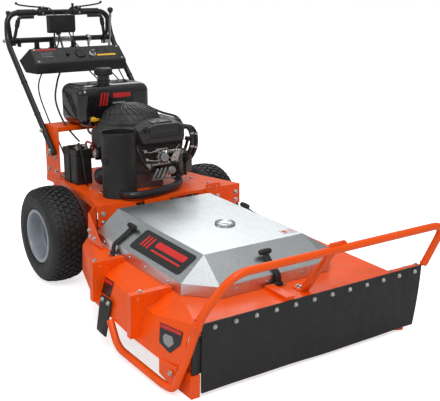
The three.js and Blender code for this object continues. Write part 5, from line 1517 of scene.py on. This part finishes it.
def brake_controls():
    for word, side, x in (("right", -1, -88), ("left", 1, 104)):
        clamp = Shape()
        clamp.lathe([(13.2, -20), (16.4, -20), (17.2, -18), (17.2, 18), (16.4, 20), (13.2, 20)],
                    (x, TOP_BAR_Y, TOP_BAR_Z), (1, 0, 0), 32, closed=True)
        for off in (-1, 1):
            clamp.prism(rounded(x - 13, x + 13, TOP_BAR_Z + 14, TOP_BAR_Z + 28, 4), TOP_BAR_Y + off * 7 - 2,
                        TOP_BAR_Y + off * 7 + 2, "Y")
        clamp.lathe([(0, 0), (5, 0), (6, 2), (6, 16), (4, 18), (0, 18)],
                    (x - side * 18, TOP_BAR_Y, TOP_BAR_Z + 20), (-side, 0, -0.15), 20)
        piece(f"brake_clamp_{word}_body", clamp, "black", replaces=(f"brake_clamp_{word}",), bevel=0.8,
              crease=40)
        screws = Shape()
        screws.bolt((x, TOP_BAR_Y - 9, TOP_BAR_Z + 24), (0, -1, 0), 7)
        screws.bolt((x, TOP_BAR_Y - 18.4, TOP_BAR_Z - 4), (0, -1, 0), 6)
        piece(f"brake_clamp_{word}_screws", screws, "zinc", bevel=0.2)

        lever = Shape()
        top = TOP_BAR_Z + 24
        path = flowing_line([(x - side * 6, TOP_BAR_Y, top + 1), (x + side * 14, TOP_BAR_Y, top + 1),
                             (x + side * 66, TOP_BAR_Y, top + 6), (x + side * 112, TOP_BAR_Y, top + 13),
                             (x + side * 125, TOP_BAR_Y, top + 19)], 6)
        rings = []
        for i, point in enumerate(path):
            t = i / (len(path) - 1)
            width = 4.0 + 2.6 * max(t - 0.2, 0)
            rings.append(lever.ring([point + Vector((0, a, b))
                                     for a, b in rounded(-width, width, -3.8, 3.8, 2.6, 3)]))
        lever.skin(rings)
        lever.lathe([(0, -6), (4.5, -6), (6.6, 0), (4.5, 6), (0, 6)], (x + side * 126, TOP_BAR_Y, top + 20),
                    (0, 1, 0), 20)
        piece(f"brake_lever_{word}_blade", lever, "black", body=f"brake_lever_{word}",
              replaces=(f"brake_lever_{word}",), crease=45)


def throttle_lever():
    throttle = Shape()
    x = 76
    throttle.lathe([(13.2, -6), (19, -6), (20, -5), (20, 5), (19, 6), (13.2, 6)], (x, TOP_BAR_Y, TOP_BAR_Z),
                   (1, 0, 0), 32, closed=True)
    throttle.hull([(x + sx * w, TOP_BAR_Y + sy * d, TOP_BAR_Z + h) for sx in (-1, 1) for sy in (-1, 1)
                   for w, d, h in ((4, 6, 14), (5, 5, 41))])
    piece("throttle_thumb_lever", throttle, "plastic", body="throttle_lever", replaces=("throttle_lever",),
          bevel=1.6, segments=3)


def blade_lever():
    lever = Shape()
    ends = ((251, 1920, 9, 925), (262, 1914, 8, 1090))
    lever.hull([(x + a, y + b, z) for a in (-3, 3) for x, y, half, z in ends for b in (-half, half)])
    lever.rod((225.4, 1920, 950), (256, 1920, 950), 9, 24)
    lever.rod((214, 1920, 950), (230, 1920, 950), 3.9, 16)
    piece("blade_lever_bar", lever, "zinc", body="blade_lever", replaces=("blade_lever",), bevel=0.8)
    knob = Shape().lathe([(0, -14), (7, -14), (9, -10), (13.4, -4), (14.4, 3), (13, 9), (8, 13.6), (0, 15)],
                         (262, 1914, 1102), (0, 0.1, 1), 32)
    piece("blade_lever_knob", knob, "plastic", body="blade_lever", crease=60)


def shift_lever():
    shift = Shape()
    x, y, foot_z, top_z = -245, 1985, 990, 1088
    shift.rod((x, y - 2, foot_z), (x, y, top_z), 5, 20)
    shift.rod((x - 8, y - 2, foot_z), (x + 8, y - 2, foot_z), 9, 24)
    shift.lathe([(0, -6), (8, -5), (9, 0), (11, 8), (10.6, 14), (8, 19), (0, 20)], (x, y, top_z), (0, 0, 1),
                28)
    piece("shift_lever_stem", shift, "plastic", body="shift_lever", replaces=("shift_lever",), bevel=0.5,
          crease=45)


def control_cables():
    cables = Shape()
    for side in (-1, 1):
        start = Vector((-70 if side < 0 else 86, TOP_BAR_Y, TOP_BAR_Z + 18))
        cables.hose([start, start + Vector((-side * 26, -4, -2)), (side * 22, 1930, 1066),
                     (side * 26, 1900, 1000), (side * 60, 1862, 930), (side * 150, 1806, 850),
                     (side * 215, 1740, 760), (side * 236, 1600, 640), (side * 238, 1500, 560),
                     (side * 236, 1420, 470), (side * 232, 1372, 400)], 3.2, 12)
    cables.hose([(76, 1950, 1080), (70, 1925, 1050), (48, 1902, 990), (36, 1850, 905), (60, 1780, 830),
                 (120, 1690, 740), (168, 1600, 690), (182, 1500, 650), (176, 1380, 628), (150, 1290, 600)],
                3.0, 12)
    cables.hose([(-60, 1880, 1004), (-64, 1872, 960), (-60, 1850, 900), (-70, 1800, 846), (-130, 1716, 790),
                 (-186, 1620, 720), (-206, 1520, 650), (-204, 1440, 600), (-190, 1380, 560)], 4.4)
    cables.hose([(252, 1872, 880), (246, 1850, 850), (244, 1800, 806), (246, 1700, 710), (244, 1560, 570),
                 (240, 1450, 470), (236, 1400, 404)], 3.2, 12)
    piece("control_cables", cables, "cable", crease=60)
    ties = Shape()
    for side in (-1, 1):
        for t in (0.34, 0.62):
            ties.band(13, 14.6, 2.5, on_arm(side, ARM_X, t), (0, 0.714, 0.70), 24)
    piece("cable_ties", ties, "plastic")


# ------------------------------------------------------------------ building it all

guard_and_bumper()
dress_deck()
deck_welds()
deck_fixings()
latch_anchors()
deck_labels()
flap_sheet()
small_flaps()
belt_cover()
cover_cap()
cover_rivets()
latch("latch_right_strap", "latch_right", "latch_right", COVER_X - COVER_HALF - 2, 655, math.pi)
latch("latch_left_strap", "latch_left", "latch_left", COVER_X + COVER_HALF + 2, 655, 0)
latch("latch_front_strap", "latch_front", "latch_front", -92, COVER_FRONT - 2, -math.pi / 2)
chassis()
transaxle()
for word, side in SIDES:
    tyre(word, side)
    rim(word, side)
    hub(word, side)
crankcase()
oil_filter()
dipstick()
starter_motor()
cylinder("front")
cylinder("rear")
blower()
blower_grille()
air_filter()
carburettor()
governor_linkage()
breather_hoses()
exhaust()
fuel_tank()
fuel_cap()
tank_decal()
fuel_tap()
fuel_hoses()
battery()
battery_wiring()
handlebar()
crossbar()
grip_levers()
console()
control_box()
brake_controls()
throttle_lever()
blade_lever()
shift_lever()
control_cables()


# ------------------------------------------------------------------ floor, light and camera

SKY = (-0.1, 0.9, 0.24, 0.50)  # two heights in the sky, and the brightness at each
FLOOR_GLOW = 0.7  # the floor's own light, seen only by the camera


def studio_floor():
    bpy.context.scene.view_settings.view_transform = "Standard"
    floor = Shape().box(-30000, 30000, -30000, 30000, -20, -0.5)
    mesh = bpy.data.meshes.new("studio_floor")
    floor.bm.transform(Matrix.Scale(MM, 4))
    bmesh.ops.recalc_face_normals(floor.bm, faces=floor.bm.faces[:])
    floor.bm.to_mesh(mesh)
    obj = bpy.data.objects.new("studio_floor", mesh)
    bpy.context.scene.collection.objects.link(obj)
    n = Nodes("pale_floor")
    n.set(base_color=n.mix(n.spread(n.noise(0.7, 3), 0, 1), (0.80, 0.80, 0.80), (0.83, 0.83, 0.83)),
          roughness=n.spread(n.noise(8, 3), 0.6, 0.7), emission_color=(1.0, 1.0, 1.0))
    n.link(n.spread(n.add("ShaderNodeLightPath").outputs["Is Camera Ray"], 0.0, FLOOR_GLOW, 0, 1),
           n.shader.inputs["Emission Strength"])
    mesh.materials.append(n.material)


def sky():
    """White to the camera, and a soft gradient to everything else."""
    world = bpy.data.worlds.new("studio")
    bpy.context.scene.world = world
    world.use_nodes = True
    nodes, links = world.node_tree.nodes, world.node_tree.links
    direction = nodes.new("ShaderNodeSeparateXYZ")
    links.new(nodes.new("ShaderNodeTexCoord").outputs["Generated"], direction.inputs[0])
    glow = nodes.new("ShaderNodeMapRange")
    for socket, value in zip(("From Min", "From Max", "To Min", "To Max"), SKY):
        glow.inputs[socket].default_value = value
    links.new(direction.outputs["Z"], glow.inputs["Value"])
    seen = nodes.new("ShaderNodeMix")
    links.new(nodes.new("ShaderNodeLightPath").outputs["Is Camera Ray"], seen.inputs["Factor"])
    links.new(glow.outputs["Result"], seen.inputs["A"])
    seen.inputs["B"].default_value = 1.0
    links.new(seen.outputs["Result"], nodes["Background"].inputs["Strength"])
    nodes["Background"].inputs["Color"].default_value = (1.0, 1.0, 1.0, 1)


# Each lamp's place, size in metres and power in watts.
LAMPS = {"key": ((-1.6, -3.4, 4.4), 2.2, 125), "fill": ((-4.4, 0.6, 2.6), 2.0, 26),
         "back": ((2.6, 3.4, 3.6), 2.4, 42), "top": ((0.2, 0.2, 5.0), 2.6, 34)}


def lamps():
    target = Vector((0, 0, 0.4))
    for name, (place, size, power) in LAMPS.items():
        lamp = bpy.data.lights.new(name, "AREA")
        lamp.size = size
        lamp.energy = power
        light = bpy.data.objects.new(name, lamp)
        light.location = place
        light.rotation_mode = "QUATERNION"
        light.rotation_quaternion = (target - Vector(place)).to_track_quat("-Z", "Y")
        bpy.context.scene.collection.objects.link(light)


CAMERA_PLACE = (-1729.8, -1876.3, 1304.5)
CAMERA_AZIMUTH = math.radians(-35.0)
CAMERA_ELEVATION = math.radians(16.7)
CAMERA_ROLL = math.radians(1.3)
CAMERA_LENS = 68.35


def camera():
    """The viewpoint is given in the deck's frame."""
    a, e, r = CAMERA_AZIMUTH, CAMERA_ELEVATION, CAMERA_ROLL
    back = Vector((math.sin(a) * math.cos(e), -math.cos(a) * math.cos(e), math.sin(e)))
    right = (-back).cross(Vector((0, 0, 1))).normalized()
    up = back.cross(right)
    rolled_right = right * math.cos(r) + up * math.sin(r)
    rolled_up = up * math.cos(r) - right * math.sin(r)
    pitch = Matrix.Rotation(PITCH, 3, "X")
    turn = Matrix((pitch @ rolled_right, pitch @ rolled_up, pitch @ back)).transposed()
    data = bpy.data.cameras.new("camera")
    data.lens = CAMERA_LENS
    data.sensor_width = 36
    data.clip_end = 100
    obj = bpy.data.objects.new("camera", data)
    obj.matrix_world = Matrix.Translation(DECK @ Vector(CAMERA_PLACE)) @ turn.to_4x4()
    bpy.context.scene.collection.objects.link(obj)
    bpy.context.scene.camera = obj


studio_floor()
sky()
lamps()
camera()
